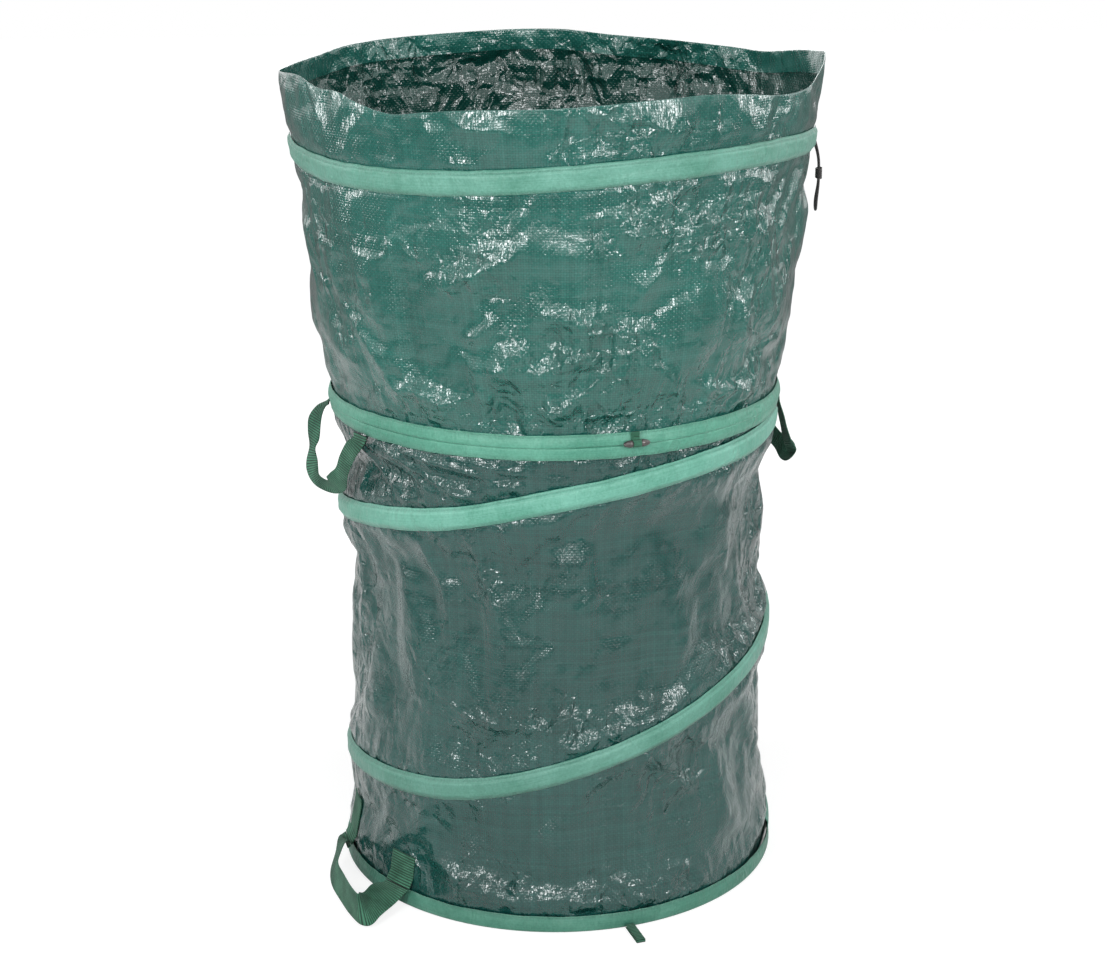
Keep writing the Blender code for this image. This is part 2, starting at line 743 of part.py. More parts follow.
def make_base_panel(cloth):
    radius = INNER_LEG_RADIUS - TAPE / 2 - GAP
    mesh = bpy.data.meshes.new("base_panel")
    disc = bmesh.new()
    bmesh.ops.create_cone(
        disc, cap_ends=True, segments=COLUMNS, radius1=radius, radius2=radius, depth=2 * CLOTH
    )
    bmesh.ops.translate(disc, verts=disc.verts[:], vec=(0.0, 0.0, CLOTH))
    disc.to_mesh(mesh)
    disc.free()
    add_object("base_panel", mesh, cloth)


def make_wall(cloth):
    def place(column, row):
        index = round(row * WALL_ROWS)
        return cloth_spot(column, lambda at: wall_row_radius(at, index), WALL_HEIGHTS[index], wall_slack)

    sheet("wall_panel", CLOTH_COLUMNS, WALL_ROWS, place, CLOTH, cloth, closed=True)


def make_collar(cloth):
    heights = [COLLAR_FOOT, BINDING_TOP + GAP]
    gathered = BINDING_TOP + COLLAR_GATHER_TALL_SHARE * (RIM_HEIGHT - BINDING_TOP)
    split = COLLAR_SPLIT_HEIGHT - GAP / 2
    rows = COLLAR_ROWS - 2
    heights += [gathered + (split - gathered) * index / rows for index in range(rows + 1)]

    def lower(column, row):
        height = heights[round(row * COLLAR_ROWS)]
        return cloth_spot(column, lambda at: collar_radius(at, height), height, collar_slack)

    sheet("collar_lower", CLOTH_COLUMNS, COLLAR_ROWS, lower, CLOTH, cloth, closed=True)

    def upper(column, row):
        azimuth = 360.0 * column
        top = rim_height(azimuth) - CLOTH / 2
        hem = top - HEM_TALL
        bottom = COLLAR_SPLIT_HEIGHT + GAP / 2
        heights_up = [bottom, (bottom + hem) / 2, hem, top, top, hem]
        index = round(row * (len(heights_up) - 1))
        fold = CLOTH + HEM_GAP if index >= 4 else 0.0
        height = heights_up[index]
        return spot(azimuth, collar_radius(azimuth, height) - fold, height)

    sheet("collar_upper", COLUMNS, 5, upper, CLOTH, cloth, closed=True)


def make_casings(tape):
    half = CASING_TALL / 2
    floor = CLOTH / 2 + GAP + TAPE / 2
    crown = CLOTH / 2 + GAP + CORD_DIAMETER + GAP + TAPE / 2
    columns = COLUMNS // 2
    for name, start in (("casing_front", 0.0), ("casing_back", 180.0)):

        def place(column, row):
            azimuth = start + 180.0 * column
            if column == 0.0:
                azimuth = start + CASING_END_ANGLE
            if column == 1.0:
                azimuth = start + 180.0 - CASING_END_ANGLE
            middle = casing_height(azimuth)
            height = middle + half * (2.0 * row - 1.0)
            arch = 1.0 - (2.0 * row - 1.0) ** 2
            stand_off = floor + (crown - floor) * arch
            return spot(azimuth, collar_radius(azimuth, height) + stand_off, height)

        sheet(name, columns, 4, place, TAPE, tape)


def make_drawstring(black):
    angles = [CORD_END_ANGLE]
    angles += [STEP_ANGLE * index for index in range(1, COLUMNS)]
    angles += [360.0 - CORD_END_ANGLE]
    points = [spot(a, cord_radius(a), casing_height(a)) for a in angles]
    tube("drawstring", points, CORD_DIAMETER, black)


def tail_hinge():
    return spot(0.0, cord_radius(CORD_END_ANGLE), casing_height(0.0))


def make_tail(black):
    start = spot(CORD_END_ANGLE, cord_radius(CORD_END_ANGLE), casing_height(CORD_END_ANGLE))
    end = spot(-CORD_END_ANGLE, cord_radius(-CORD_END_ANGLE), casing_height(-CORD_END_ANGLE))
    inward = -along(CORD_END_ANGLE)
    outward_again = along(-CORD_END_ANGLE)
    start += inward * GAP
    end += outward_again * GAP
    straight = CORD_DIAMETER
    route = [start, start + inward * straight]
    route += [Vector(point) for point in TAIL_ROUTE]
    route += [end + outward_again * straight, end]
    points = catmull(route, 66)
    hinge = tail_hinge()
    tube("drawstring_tail", points, CORD_DIAMETER, black, fineness=2, origin=hinge)
    bore_wide = CORD_DIAMETER + 2 * GAP
    bore_tall = bore_wide + STRAND_SPACING
    middle = Vector((KNOT_X, 0.0, KNOT_HEIGHT))
    down = Vector((0.0, 0.0, -1.0))
    along_strands = Vector((0.0, 1.0, 0.0))
    oval_sleeve(
        "drawstring_knot", bore_wide, bore_tall, KNOT_WALL, KNOT_LONG, middle, down, along_strands, black
    )


def handle_frame(angles, width):
    """Middle azimuth, half the chord, the ends' reach and the hinge's reach, outward from the axis."""
    middle = sum(angles) / 2
    spread = math.radians(angles[1] - angles[0]) / 2
    half_chord = SEAT_RADIUS * math.sin(spread)
    seat = SEAT_RADIUS * math.cos(spread)
    hinge = seat + width / 2 * math.sin(spread) + WEBBING / 2 + GAP
    return middle, half_chord, seat, hinge


def handle_stations(angles, width, shares, stand_off, height_of):
    middle, half_chord, seat, _ = handle_frame(angles, width)
    stations = []
    for index, (t, o, drop, across_t, across_o, across_z) in enumerate(shares):
        place = along(middle) * half_chord * t + outward(middle) * (seat + stand_off * o)
        place.z = height_of(drop)
        across = along(middle) * across_t + outward(middle) * across_o
        across.z = across_z
        if index <= 1 or index >= len(shares) - 2:
            end = angles[0] if index <= 1 else angles[1]
            across = along(end) * (1.0 if across.dot(along(end)) > 0 else -1.0)
        stations.append((place, across.normalized()))
    return stations


def make_waist_handles(webbing):
    top = WAIST_SLEEVE_BOTTOM - GAP
    for name, angles, shares in (
        ("handle_left", LEFT_HANDLE_ANGLES, LEFT_HANDLE_SHARES),
        ("handle_right", RIGHT_HANDLE_ANGLES, RIGHT_HANDLE_SHARES),
    ):
        stations = handle_stations(
            angles, HANDLE_WEBBING_WIDE, shares, HANDLE_STAND_OFF, lambda drop: top - HANDLE_DROP * drop
        )
        middle, _, _, hinge = handle_frame(angles, HANDLE_WEBBING_WIDE)
        origin = outward(middle) * hinge + Vector((0.0, 0.0, top))
        strap(name, stations, HANDLE_WEBBING_WIDE, WEBBING, STRAP_STEPS, webbing, origin)


def make_base_handle(webbing):
    half = BASE_WEBBING_WIDE / 2
    stations = handle_stations(
        BASE_HANDLE_ANGLES,
        BASE_WEBBING_WIDE,
        BASE_HANDLE_SHARES,
        BASE_HANDLE_REACH,
        lambda share: half * share,
    )
    middle, _, _, hinge = handle_frame(BASE_HANDLE_ANGLES, BASE_WEBBING_WIDE)
    origin = outward(middle) * hinge + Vector((0.0, 0.0, BASE_SEAT_HEIGHT))
    strap("base_handle", stations, BASE_WEBBING_WIDE, WEBBING, STRAP_STEPS, webbing, origin)
    for name, angle, top in (
        ("base_handle_front_patch", BASE_HANDLE_ANGLES[0], FRONT_PATCH_TOP),
        ("base_handle_rear_patch", BASE_HANDLE_ANGLES[1], REAR_PATCH_TOP),
    ):
        spread = math.degrees(BASE_WEBBING_WIDE / SEAT_RADIUS)

        def place(column, row):
            azimuth = angle + spread * (column - 0.5)
            bottom = BASE_SEAT_HEIGHT + WEBBING
            height = bottom + (top - bottom) * row
            seated = wall_surface(azimuth, height) + CLOTH / 2 + GAP + WEBBING / 2
            flare = max(1.0 - (height - bottom) / PATCH_FLARE_TALL, 0.0)
            return spot(azimuth, seated + (SEAT_RADIUS - seated) * flare, height)

        sheet(name, 4, 6, place, WEBBING, webbing)


def make_toggle(ribbon, bronze):
    hinge = outward(TOGGLE_ANGLE) * (RING_RADIUS + GAP + RIBBON / 2)
    hinge.z = BINDING_TOP - GAP
    reach = RIBBON / 2 + TOGGLE_DIAMETER * TOGGLE_WAIST_SHARE / 2 + GAP
    middle = outward(TOGGLE_ANGLE) * (RING_RADIUS + GAP + RIBBON + GAP + TOGGLE_DIAMETER / 2)
    middle.z = BINDING_TOP - TOGGLE_DROP
    half = TOGGLE_LONG / 2
    radius = TOGGLE_DIAMETER / 2
    count = 9
    profile = []
    for index in range(count + 1):
        share = -1.0 + 2.0 * index / count
        body = radius * math.sqrt(max(1.0 - share * share, 0.0))
        neck = radius * TOGGLE_WAIST_SHARE
        near = abs(share) * half < TOGGLE_LOOP_WIDE / 2 + GAP * 2
        profile.append((min(body, neck) if near else body, -share * half))
    item = turned("toggle", profile, 16, bronze)
    item.rotation_mode = "QUATERNION"
    item.rotation_quaternion = along(TOGGLE_ANGLE).to_track_quat("Z", "Y")
    item.location = middle
    side = outward(TOGGLE_ANGLE)
    start = hinge.copy()
    lowered = Vector((start.x, start.y, middle.z + reach))
    stations = [start, start.lerp(lowered, 0.5)]
    for index in range(9):
        turn = math.radians(140.0 + 290.0 * index / 8)
        stations.append(middle + side * reach * math.cos(turn) + Vector((0.0, 0.0, reach * math.sin(turn))))
    stations.append(lowered + side * (RIBBON + GAP) + Vector((0.0, 0.0, GAP)))
    stations.append(start + side * (RIBBON + GAP))
    pairs = [(point, along(TOGGLE_ANGLE)) for point in stations]
    strap("toggle_loop", pairs, TOGGLE_LOOP_WIDE, RIBBON, 24, ribbon, hinge)


def make_closing_loop(ribbon):
    side = outward(CLOSING_ANGLE)
    start = side * (RING_RADIUS + 2 * GAP)
    start.z = GAP + RIBBON / 2
    rise = RIBBON + CLOSING_OPEN
    turn_radius = rise / 2
    far = start + side * (CLOSING_REACH - turn_radius)
    stations = [start, start.lerp(far, 0.5), far]
    for index in range(1, 6):
        turn = math.radians(-90.0 + 30.0 * index)
        stations.append(
            far + side * turn_radius * math.cos(turn) + Vector((0.0, 0.0, turn_radius * (1.0 + math.sin(turn))))
        )
    lift = Vector((0.0, 0.0, rise))
    stations += [far + lift, start.lerp(far, 0.5) + lift, start + lift]
    pairs = [(point, along(CLOSING_ANGLE)) for point in stations]
    origin = side * (RING_RADIUS + 2 * GAP)
    origin.z = GAP + 2 * RIBBON + CLOSING_OPEN
    strap("closing_loop", pairs, CLOSING_WIDE, RIBBON, 20, ribbon, origin)


clear_scene()
PARTS = make_collection()

WOVEN = make_material("woven_polyethylene", (0.065, 0.120, 0.105), 0.35)
TAPE_GREEN = make_material("green_tape", (0.130, 0.400, 0.300), 0.55)
WEBBING_GREEN = make_material("green_webbing", (0.085, 0.200, 0.145), 0.75)
STEEL = make_material("spring_steel", (0.300, 0.300, 0.310), 0.35, 1.0)
BLACK = make_material("black_cord", (0.012, 0.012, 0.012), 0.60)
BRONZE = make_material("bronze_toggle", (0.160, 0.110, 0.100), 0.30, 0.3)

make_rings(TAPE_GREEN, STEEL)
make_coil(TAPE_GREEN, STEEL)
make_ferrules(STEEL)
make_base_panel(WOVEN)
make_wall(WOVEN)
make_collar(WOVEN)
make_casings(TAPE_GREEN)
make_drawstring(BLACK)
make_tail(BLACK)
make_waist_handles(WEBBING_GREEN)
make_base_handle(WEBBING_GREEN)
make_toggle(TAPE_GREEN, BRONZE)
make_closing_loop(WEBBING_GREEN)
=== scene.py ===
# A pop up leaf bag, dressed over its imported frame: crumpled woven cloth, tapes, webbing and cord.
# Metres, +Z up. An azimuth counts degrees clockwise seen from above: 0 right, 90 front, 180 left.
import math

import bmesh
import bpy
import numpy as np
from mathutils import Matrix, Vector


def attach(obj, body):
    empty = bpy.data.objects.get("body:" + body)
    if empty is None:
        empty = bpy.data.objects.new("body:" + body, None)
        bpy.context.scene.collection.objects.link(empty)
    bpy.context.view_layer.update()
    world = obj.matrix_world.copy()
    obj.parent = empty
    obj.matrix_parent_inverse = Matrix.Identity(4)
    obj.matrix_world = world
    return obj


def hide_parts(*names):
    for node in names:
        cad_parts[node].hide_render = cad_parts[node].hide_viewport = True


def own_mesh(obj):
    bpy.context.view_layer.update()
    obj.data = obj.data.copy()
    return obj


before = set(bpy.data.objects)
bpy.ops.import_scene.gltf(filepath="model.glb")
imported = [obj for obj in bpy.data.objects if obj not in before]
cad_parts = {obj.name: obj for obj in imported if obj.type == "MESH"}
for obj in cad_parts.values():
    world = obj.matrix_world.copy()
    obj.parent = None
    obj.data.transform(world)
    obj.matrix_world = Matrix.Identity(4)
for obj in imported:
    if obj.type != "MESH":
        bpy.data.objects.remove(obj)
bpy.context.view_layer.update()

# Sizes, the same as the part's
GAP = 0.0003
CLOTH = 0.0006
TAPE = 0.0008
WIRE_DIAMETER = 0.0035
WEBBING = 0.0014
RIBBON = 0.0008
RING_RADIUS = 0.250
WAIST_HEIGHT = 0.5475
BASE_SLEEVE_TALL = 0.018
WAIST_SLEEVE_TALL = 0.0135
BINDING_TALL = 0.0137
FERRULE_WALL = 0.0005
FERRULE_PLAY = 0.0003
COIL_TOP_ANGLE = -9.0
COIL_BOTTOM_ANGLE = 747.0
COIL_DRAW_IN = 0.0045
COIL_EASE_AFTER = 60.0
COIL_EASE_ANGLE = 60.0
COIL_SLEEVE_TALL = 0.025
COIL_SLEEVE_START = 9.0
COIL_SLEEVE_END = 729.0
WIRE_PLAY = 0.0006
# (share of the coil's angle, share of its drop), from the waist ring down
COIL_STATIONS = (
    (0.000, 0.000), (0.037, 0.036), (0.085, 0.054), (0.130, 0.095), (0.168, 0.148),
    (0.210, 0.190), (0.488, 0.479), (0.541, 0.552), (0.591, 0.641), (0.641, 0.721),
    (0.686, 0.753), (0.806, 0.827), (0.938, 0.939), (1.000, 1.000),
)
WALL_DRAW_LOW = 0.004
WALL_DRAW_HIGH = 0.020
WALL_DRAW_REACH = 0.035
WALL_BLEND = 0.004
COLLAR_FLARE = 0.0327
COLLAR_CORNER = 0.0125
COLLAR_GATHER_SHARE = 0.05
COLLAR_GATHER_TALL_SHARE = 0.07
COLLAR_CORNER_POWER = 1.5
RIM_HEIGHT = 0.9025
RIM_SIDE_TILT = 0.007
RIM_FRONT_TILT = 0.0085
RIM_WAVE = 0.0175
# (share of the turn, share of the wave)
RIM_STATIONS = (
    (0.000, 0.25), (0.028, -0.45), (0.057, -1.00), (0.094, -0.90), (0.132, -0.33), (0.165, 0.00),
    (0.250, -0.09), (0.295, -0.13), (0.324, -0.33), (0.346, -0.55), (0.372, -0.10), (0.388, 0.34),
    (0.410, 0.36), (0.433, 0.78), (0.474, 0.45), (0.500, 0.20), (0.560, 0.09), (0.603, 0.29),
    (0.690, 0.16), (0.755, 0.00), (0.790, -0.41), (0.843, -0.73), (0.883, -0.87), (0.913, -0.86),
    (0.955, -0.30), (1.000, 0.25),
)
HEM_TALL = 0.024
CASING_TALL = 0.025
CASING_HEIGHT = 0.8235
CASING_WAVE = 0.0085
CASING_END_ANGLE = 3.5
COLLAR_SPLIT_HEIGHT = 0.8205
FOLD_DEPTH = 0.0075
FOLD_CLEAR = 0.036
FOLD_REACH = 0.030
FOLD_COUNT = 9
FOLD_SECOND_COUNT = 14
FOLD_SLANT_SHARE = 1.5
CORD_DIAMETER = 0.0028
CORD_END_ANGLE = 2.8
KNOT_HEIGHT = 0.783
KNOT_LONG = 0.013
KNOT_X = 0.2888
STRAND_SPACING = 0.0032
# The cord's free route, as in the part
TAIL_ROUTE = (
    (0.2820, -0.0068, 0.8232), (0.2832, -0.0048, 0.8194), (0.2850, -0.0037, 0.8135),
    (0.2868, -0.0029, 0.8065), (0.2882, -0.0021, 0.7990), (0.2888, -0.0016, 0.7912),
    (0.2888, -0.0016, 0.7830), (0.2888, -0.0017, 0.7755), (0.2884, -0.0029, 0.7690),
    (0.2876, -0.0047, 0.7624), (0.2868, -0.0061, 0.7557), (0.2864, -0.0066, 0.7500),
    (0.2863, -0.0048, 0.7451), (0.2863, 0.0000, 0.7429), (0.2863, 0.0048, 0.7451),
    (0.2864, 0.0066, 0.7500), (0.2868, 0.0061, 0.7557), (0.2876, 0.0047, 0.7624),
    (0.2884, 0.0029, 0.7690), (0.2888, 0.0017, 0.7755), (0.2888, 0.0016, 0.7830),
    (0.2888, 0.0016, 0.7912), (0.2882, 0.0021, 0.7987), (0.2868, 0.0029, 0.8058),
    (0.2850, 0.0037, 0.8122), (0.2832, 0.0048, 0.8177), (0.2820, 0.0068, 0.8215),
)
HANDLE_WEBBING_WIDE = 0.025
HANDLE_DROP = 0.085
HANDLE_STAND_OFF = 0.030
LEFT_HANDLE_ANGLES = (145.0, 178.0)
RIGHT_HANDLE_ANGLES = (-29.5, -2.5)
# Share of the way from the middle to an end, of the stand-off and of the drop, then the direction
# of the webbing's width along the ring, outward and up
LEFT_HANDLE = (
    (-1.00, 0.00, 0.00, 1.00, 0.00, 0.00), (-0.99, 0.04, 0.08, 1.00, 0.00, 0.00),
    (-0.88, 0.24, 0.20, 0.91, 0.21, 0.36), (-0.75, 0.41, 0.38, 0.94, 0.28, 0.21),
    (-0.63, 0.53, 0.58, 0.93, 0.30, 0.22), (-0.40, 0.64, 0.77, 0.22, 0.62, 0.75),
    (-0.01, 0.82, 0.87, -0.77, -0.14, 0.62), (0.25, 1.02, 0.84, -0.85, -0.16, 0.50),
    (0.42, 1.04, 0.75, -0.87, -0.31, 0.37), (0.50, 1.00, 0.65, -0.93, -0.28, 0.24),
    (0.59, 0.92, 0.50, -0.99, -0.02, 0.13), (0.66, 0.82, 0.35, -0.93, -0.28, -0.15),
    (0.76, 0.70, 0.18, -0.95, -0.31, -0.08), (0.87, 0.45, 0.08, -0.96, 0.00, -0.15),
    (0.98, 0.15, 0.03, -1.00, 0.00, 0.00), (1.00, 0.00, 0.00, -1.00, 0.00, 0.00),
)
RIGHT_HANDLE = (
    (-1.00, 0.00, 0.00, 1.00, 0.00, 0.00), (-1.00, 0.04, 0.10, 1.00, 0.00, 0.00),
    (-0.80, 0.32, 0.40, 0.80, 0.10, 0.50), (-0.50, 0.60, 0.66, 0.65, 0.12, 0.72),
    (-0.22, 0.80, 0.82, 0.61, 0.12, 0.79), (0.02, 0.95, 0.91, 0.50, 0.20, 0.80),
    (0.40, 1.05, 0.98, -0.40, 0.60, 0.50), (0.70, 0.90, 0.89, -0.92, 0.00, -0.30),
    (0.82, 0.59, 0.70, -0.98, 0.00, -0.20), (0.93, 0.35, 0.49, -0.96, 0.11, -0.20),
    (1.00, 0.16, 0.28, -0.97, 0.10, 0.00), (1.00, 0.04, 0.10, -1.00, 0.00, 0.00),
    (1.00, 0.00, 0.00, -1.00, 0.00, 0.00),
)
BASE_WEBBING_WIDE = 0.038
BASE_HANDLE_ANGLES = (135.5, 166.0)
BASE_HANDLE_REACH = 0.063
BASE_SEAT_HEIGHT = 0.0205
FRONT_PATCH_TOP = 0.056
REAR_PATCH_TOP = 0.075
PATCH_FLARE_TALL = 0.010
BASE_HANDLE = (
    (-1.00, 0.00, 1.08, 1.00, 0.00, 0.00), (-1.03, 0.10, 1.02, 1.00, 0.00, 0.00),
    (-1.12, 0.34, 0.98, 0.88, 0.28, 0.30), (-1.30, 0.66, 0.88, 0.92, 0.12, 0.38),
    (-1.48, 0.94, 1.10, 0.10, 0.07, 1.00), (-1.12, 0.95, 1.08, -0.15, 0.02, 0.98),
    (-0.60, 0.88, 1.10, -0.25, -0.02, 0.96), (-0.12, 0.79, 1.12, -0.40, -0.04, 0.90),
    (0.22, 0.62, 1.25, -0.56, -0.09, 0.82), (0.52, 0.38, 1.55, -0.75, 0.01, 0.66),
    (0.80, 0.18, 1.50, -0.92, 0.05, 0.30), (0.96, 0.08, 1.08, -1.00, 0.00, 0.00),
    (1.00, 0.00, 1.08, -1.00, 0.00, 0.00),
)
TOGGLE_ANGLE = 71.0
TOGGLE_LONG = 0.029
TOGGLE_DIAMETER = 0.0088
TOGGLE_WAIST_SHARE = 0.62
TOGGLE_LOOP_WIDE = 0.009
TOGGLE_DROP = 0.0115
CLOSING_ANGLE = 72.0
CLOSING_WIDE = 0.010
CLOSING_REACH = 0.036
CLOSING_OPEN = 0.0022

# Worked out from the sizes above, as in the part
FERRULE_MARGIN = FERRULE_WALL + FERRULE_PLAY
RING_WIRE_RADIUS = RING_RADIUS - TAPE - GAP - FERRULE_MARGIN - WIRE_DIAMETER / 2
WALL_EDGE_RADIUS = RING_WIRE_RADIUS - WIRE_DIAMETER / 2 - GAP - CLOTH / 2
OUTER_LEG_RADIUS = RING_RADIUS - TAPE / 2
INNER_LEG_RADIUS = WALL_EDGE_RADIUS - CLOTH / 2 - GAP - TAPE / 2
FERRULE_TALL = 2 * WIRE_DIAMETER + FERRULE_PLAY + 2 * FERRULE_MARGIN
WIRE_PITCH = WIRE_DIAMETER + FERRULE_PLAY
BASE_WIRE_HEIGHT = TAPE + GAP + FERRULE_MARGIN + WIRE_DIAMETER / 2
WAIST_WIRE_HEIGHT = WAIST_HEIGHT - BASE_WIRE_HEIGHT
COIL_TOP_HEIGHT = WAIST_WIRE_HEIGHT - WIRE_PITCH
COIL_BOTTOM_HEIGHT = BASE_WIRE_HEIGHT + WIRE_PITCH
WAIST_SLEEVE_BOTTOM = WAIST_HEIGHT - WAIST_SLEEVE_TALL
WALL_BOTTOM = TAPE + GAP + FERRULE_TALL + GAP
WALL_TOP = WAIST_HEIGHT - WALL_BOTTOM
BINDING_BOTTOM = WAIST_HEIGHT + GAP
BINDING_TOP = BINDING_BOTTOM + BINDING_TALL
COLLAR_FOOT = BINDING_BOTTOM + TAPE + GAP
COLLAR_FOOT_RADIUS = (OUTER_LEG_RADIUS + INNER_LEG_RADIUS) / 2
COIL_CLEARANCE = WIRE_DIAMETER / 2 + WIRE_PLAY
SEAT_RADIUS = RING_RADIUS + GAP + WEBBING / 2

# How far the two joints that crumple cloth travel
COLLAPSE_TRAVEL = 0.46
COLLAR_FOLD_TRAVEL = 0.20
COLLAR_FOLD_KEEP = 1.0 - COLLAR_FOLD_TRAVEL / (COLLAR_SPLIT_HEIGHT - BINDING_TOP)


# Places and curves

def spot(azimuth, radius, height):
    """Points at azimuths in degrees, radii and heights, which may be arrays."""
    turn, radius, height = np.broadcast_arrays(np.radians(azimuth), radius, height)
    return np.stack([radius * np.cos(turn), -radius * np.sin(turn), height], axis=-1)


def outward(azimuth):
    return Vector(spot(azimuth, 1.0, 0.0))


def along(azimuth):
    turn = math.radians(azimuth)
    return Vector((-math.sin(turn), -math.cos(turn), 0.0))


def eased(share):
    share = np.clip(share, 0.0, 1.0)
    return share * share * (3.0 - 2.0 * share)


def turned_from(azimuth, angle):
    """Degrees from an angle to an azimuth, from -180 to 180."""
    return (azimuth - angle + 180.0) % 360.0 - 180.0


def whole_turn(columns):
    return np.arange(columns)[None, :] * (360.0 / columns)


def lengths_along(points):
    """How far along its run each point lies, from 0."""
    return np.concatenate([[0.0], np.cumsum(np.linalg.norm(np.diff(points, axis=0), axis=1))])


def smooth_value(stations, at):
    """The part's cubic through (place, value) stations, for arrays."""
    places = np.array([station[0] for station in stations])
    values = np.array([station[1] for station in stations])
    last = len(stations) - 1
    index = np.clip(np.searchsorted(places, at, side="left") - 1, 0, last - 1)
    before, after = np.maximum(index - 1, 0), np.minimum(index + 2, last)
    x0, x1, y0, y1 = places[index], places[index + 1], values[index], values[index + 1]
    slope0 = (y1 - values[before]) / (x1 - places[before])
    slope1 = (values[after] - y0) / (places[after] - x0)
    span = x1 - x0
    s = np.clip((at - x0) / span, 0.0, 1.0)
    return (
        (2 * s**3 - 3 * s**2 + 1) * y0
        + (s**3 - 2 * s**2 + s) * span * slope0
        + (3 * s**2 - 2 * s**3) * y1
        + (s**3 - s**2) * span * slope1
    )


def coil_height(angle):
    share = (np.asarray(angle, float) - COIL_TOP_ANGLE) / (COIL_BOTTOM_ANGLE - COIL_TOP_ANGLE)
    drop = COIL_TOP_HEIGHT - COIL_BOTTOM_HEIGHT
    return COIL_TOP_HEIGHT - drop * smooth_value(COIL_STATIONS, np.clip(share, 0.0, 1.0))


def coil_radius(angle):
    from_top = angle - COIL_TOP_ANGLE - COIL_EASE_AFTER
    from_bottom = COIL_BOTTOM_ANGLE - angle - COIL_EASE_AFTER
    share = eased(from_top / COIL_EASE_ANGLE) * eased(from_bottom / COIL_EASE_ANGLE)
    return RING_WIRE_RADIUS - COIL_DRAW_IN * share


def wall_supports(azimuth, height):
    """How far a place on the wall is from each thing that holds it, and the radius of each."""
    azimuth, height = np.broadcast_arrays(np.asarray(azimuth, float), np.asarray(height, float))
    edge = np.full(height.shape, WALL_EDGE_RADIUS)
    away = [np.maximum(height - BASE_SLEEVE_TALL, 0.0), np.maximum(WAIST_SLEEVE_BOTTOM - height, 0.0)]
    radii = [edge, edge]
    for turn in range(4):
        angle = azimuth % 360.0 - 360.0 + 360.0 * turn
        outside = (angle < COIL_TOP_ANGLE) | (angle > COIL_BOTTOM_ANGLE)
        clear = np.maximum(np.abs(height - coil_height(angle)) - COIL_SLEEVE_TALL / 2, 0.0)
        away.append(np.where(outside, 9.0, clear))
        radii.append(coil_radius(angle) - COIL_CLEARANCE - CLOTH / 2)
    return np.array(away), np.array(radii)


def wall_radius(azimuth, height):
    away, radii = wall_supports(azimuth, height)
    weights = 1.0 / (away + WALL_BLEND) ** 2
    radius = (weights * radii).sum(axis=0) / weights.sum(axis=0)
    draw = WALL_DRAW_LOW + (WALL_DRAW_HIGH - WALL_DRAW_LOW) * height / WAIST_HEIGHT
    nearest = away.min(axis=0)
    radius = radius - draw * (1.0 - np.exp(-((nearest / WALL_DRAW_REACH) ** 2)))
    touching = np.where(away == 0.0, radii, 9.0).min(axis=0)
    return np.minimum(radius, touching)


PATCH_PLACES = ((BASE_HANDLE_ANGLES[0], FRONT_PATCH_TOP), (BASE_HANDLE_ANGLES[1], REAR_PATCH_TOP))
# How far a patch's cover goes from its middle line and above its top, and how far it takes to ease out
PATCH_COVER_ANGLE, PATCH_EASE_ANGLE = 4.6, 3.0
PATCH_COVER_TALL, PATCH_EASE_TALL = 0.003, 0.012


def patch_cover(azimuth, height):
    """1 where the base handle's patches lie on the wall, easing to 0 beside them."""
    cover = np.zeros(np.broadcast(azimuth, height).shape)
    for angle, top in PATCH_PLACES:
        sideways = (np.abs(turned_from(azimuth, angle)) - PATCH_COVER_ANGLE) / PATCH_EASE_ANGLE
        upward = (height - top - PATCH_COVER_TALL) / PATCH_EASE_TALL
        cover = np.maximum(cover, (1.0 - eased(sideways)) * (1.0 - eased(upward)))
    return cover


def main_folds(azimuth, height, away):
    """The part's own main folds, at a distance from what holds the cloth."""
    turn = np.radians(azimuth)
    slant = math.tau * FOLD_SLANT_SHARE * height / WAIST_HEIGHT
    waves = np.sin(FOLD_COUNT * turn + slant) + np.sin(FOLD_SECOND_COUNT * turn - slant)
    return FOLD_DEPTH * np.maximum(waves, 0.0) / 2 * eased((away - FOLD_CLEAR) / FOLD_REACH)


def wall_folds(azimuth, height):
    away = wall_supports(azimuth, height)[0].min(axis=0)
    for angle, top in PATCH_PLACES:
        sideways = WALL_EDGE_RADIUS * np.radians(np.abs(turned_from(azimuth, angle))) - BASE_WEBBING_WIDE
        away = np.minimum(away, np.maximum(sideways, height - top))
    return main_folds(azimuth, height, np.maximum(away, 0.0))


def collar_folds(azimuth, height):
    casing_bottom = casing_height(azimuth) - CASING_TALL / 2
    away = np.minimum(height - BINDING_TOP, casing_bottom - height)
    return main_folds(azimuth, height, np.maximum(away, 0.0))


def rim_height(azimuth):
    turn = np.radians(azimuth)
    wave = RIM_WAVE * smooth_value(RIM_STATIONS, np.asarray(azimuth, float) / 360.0 % 1.0)
    return RIM_HEIGHT + RIM_SIDE_TILT * np.cos(turn) - RIM_FRONT_TILT * np.sin(turn) + wave


def casing_height(azimuth):
    return CASING_HEIGHT + CASING_WAVE * np.sin(np.radians(2 * azimuth))


def from_side(azimuth):
    """Degrees from the nearer of the bag's two sides, where the drawstring shows."""
    return np.abs((np.asarray(azimuth, float) + 90.0) % 180.0 - 90.0)


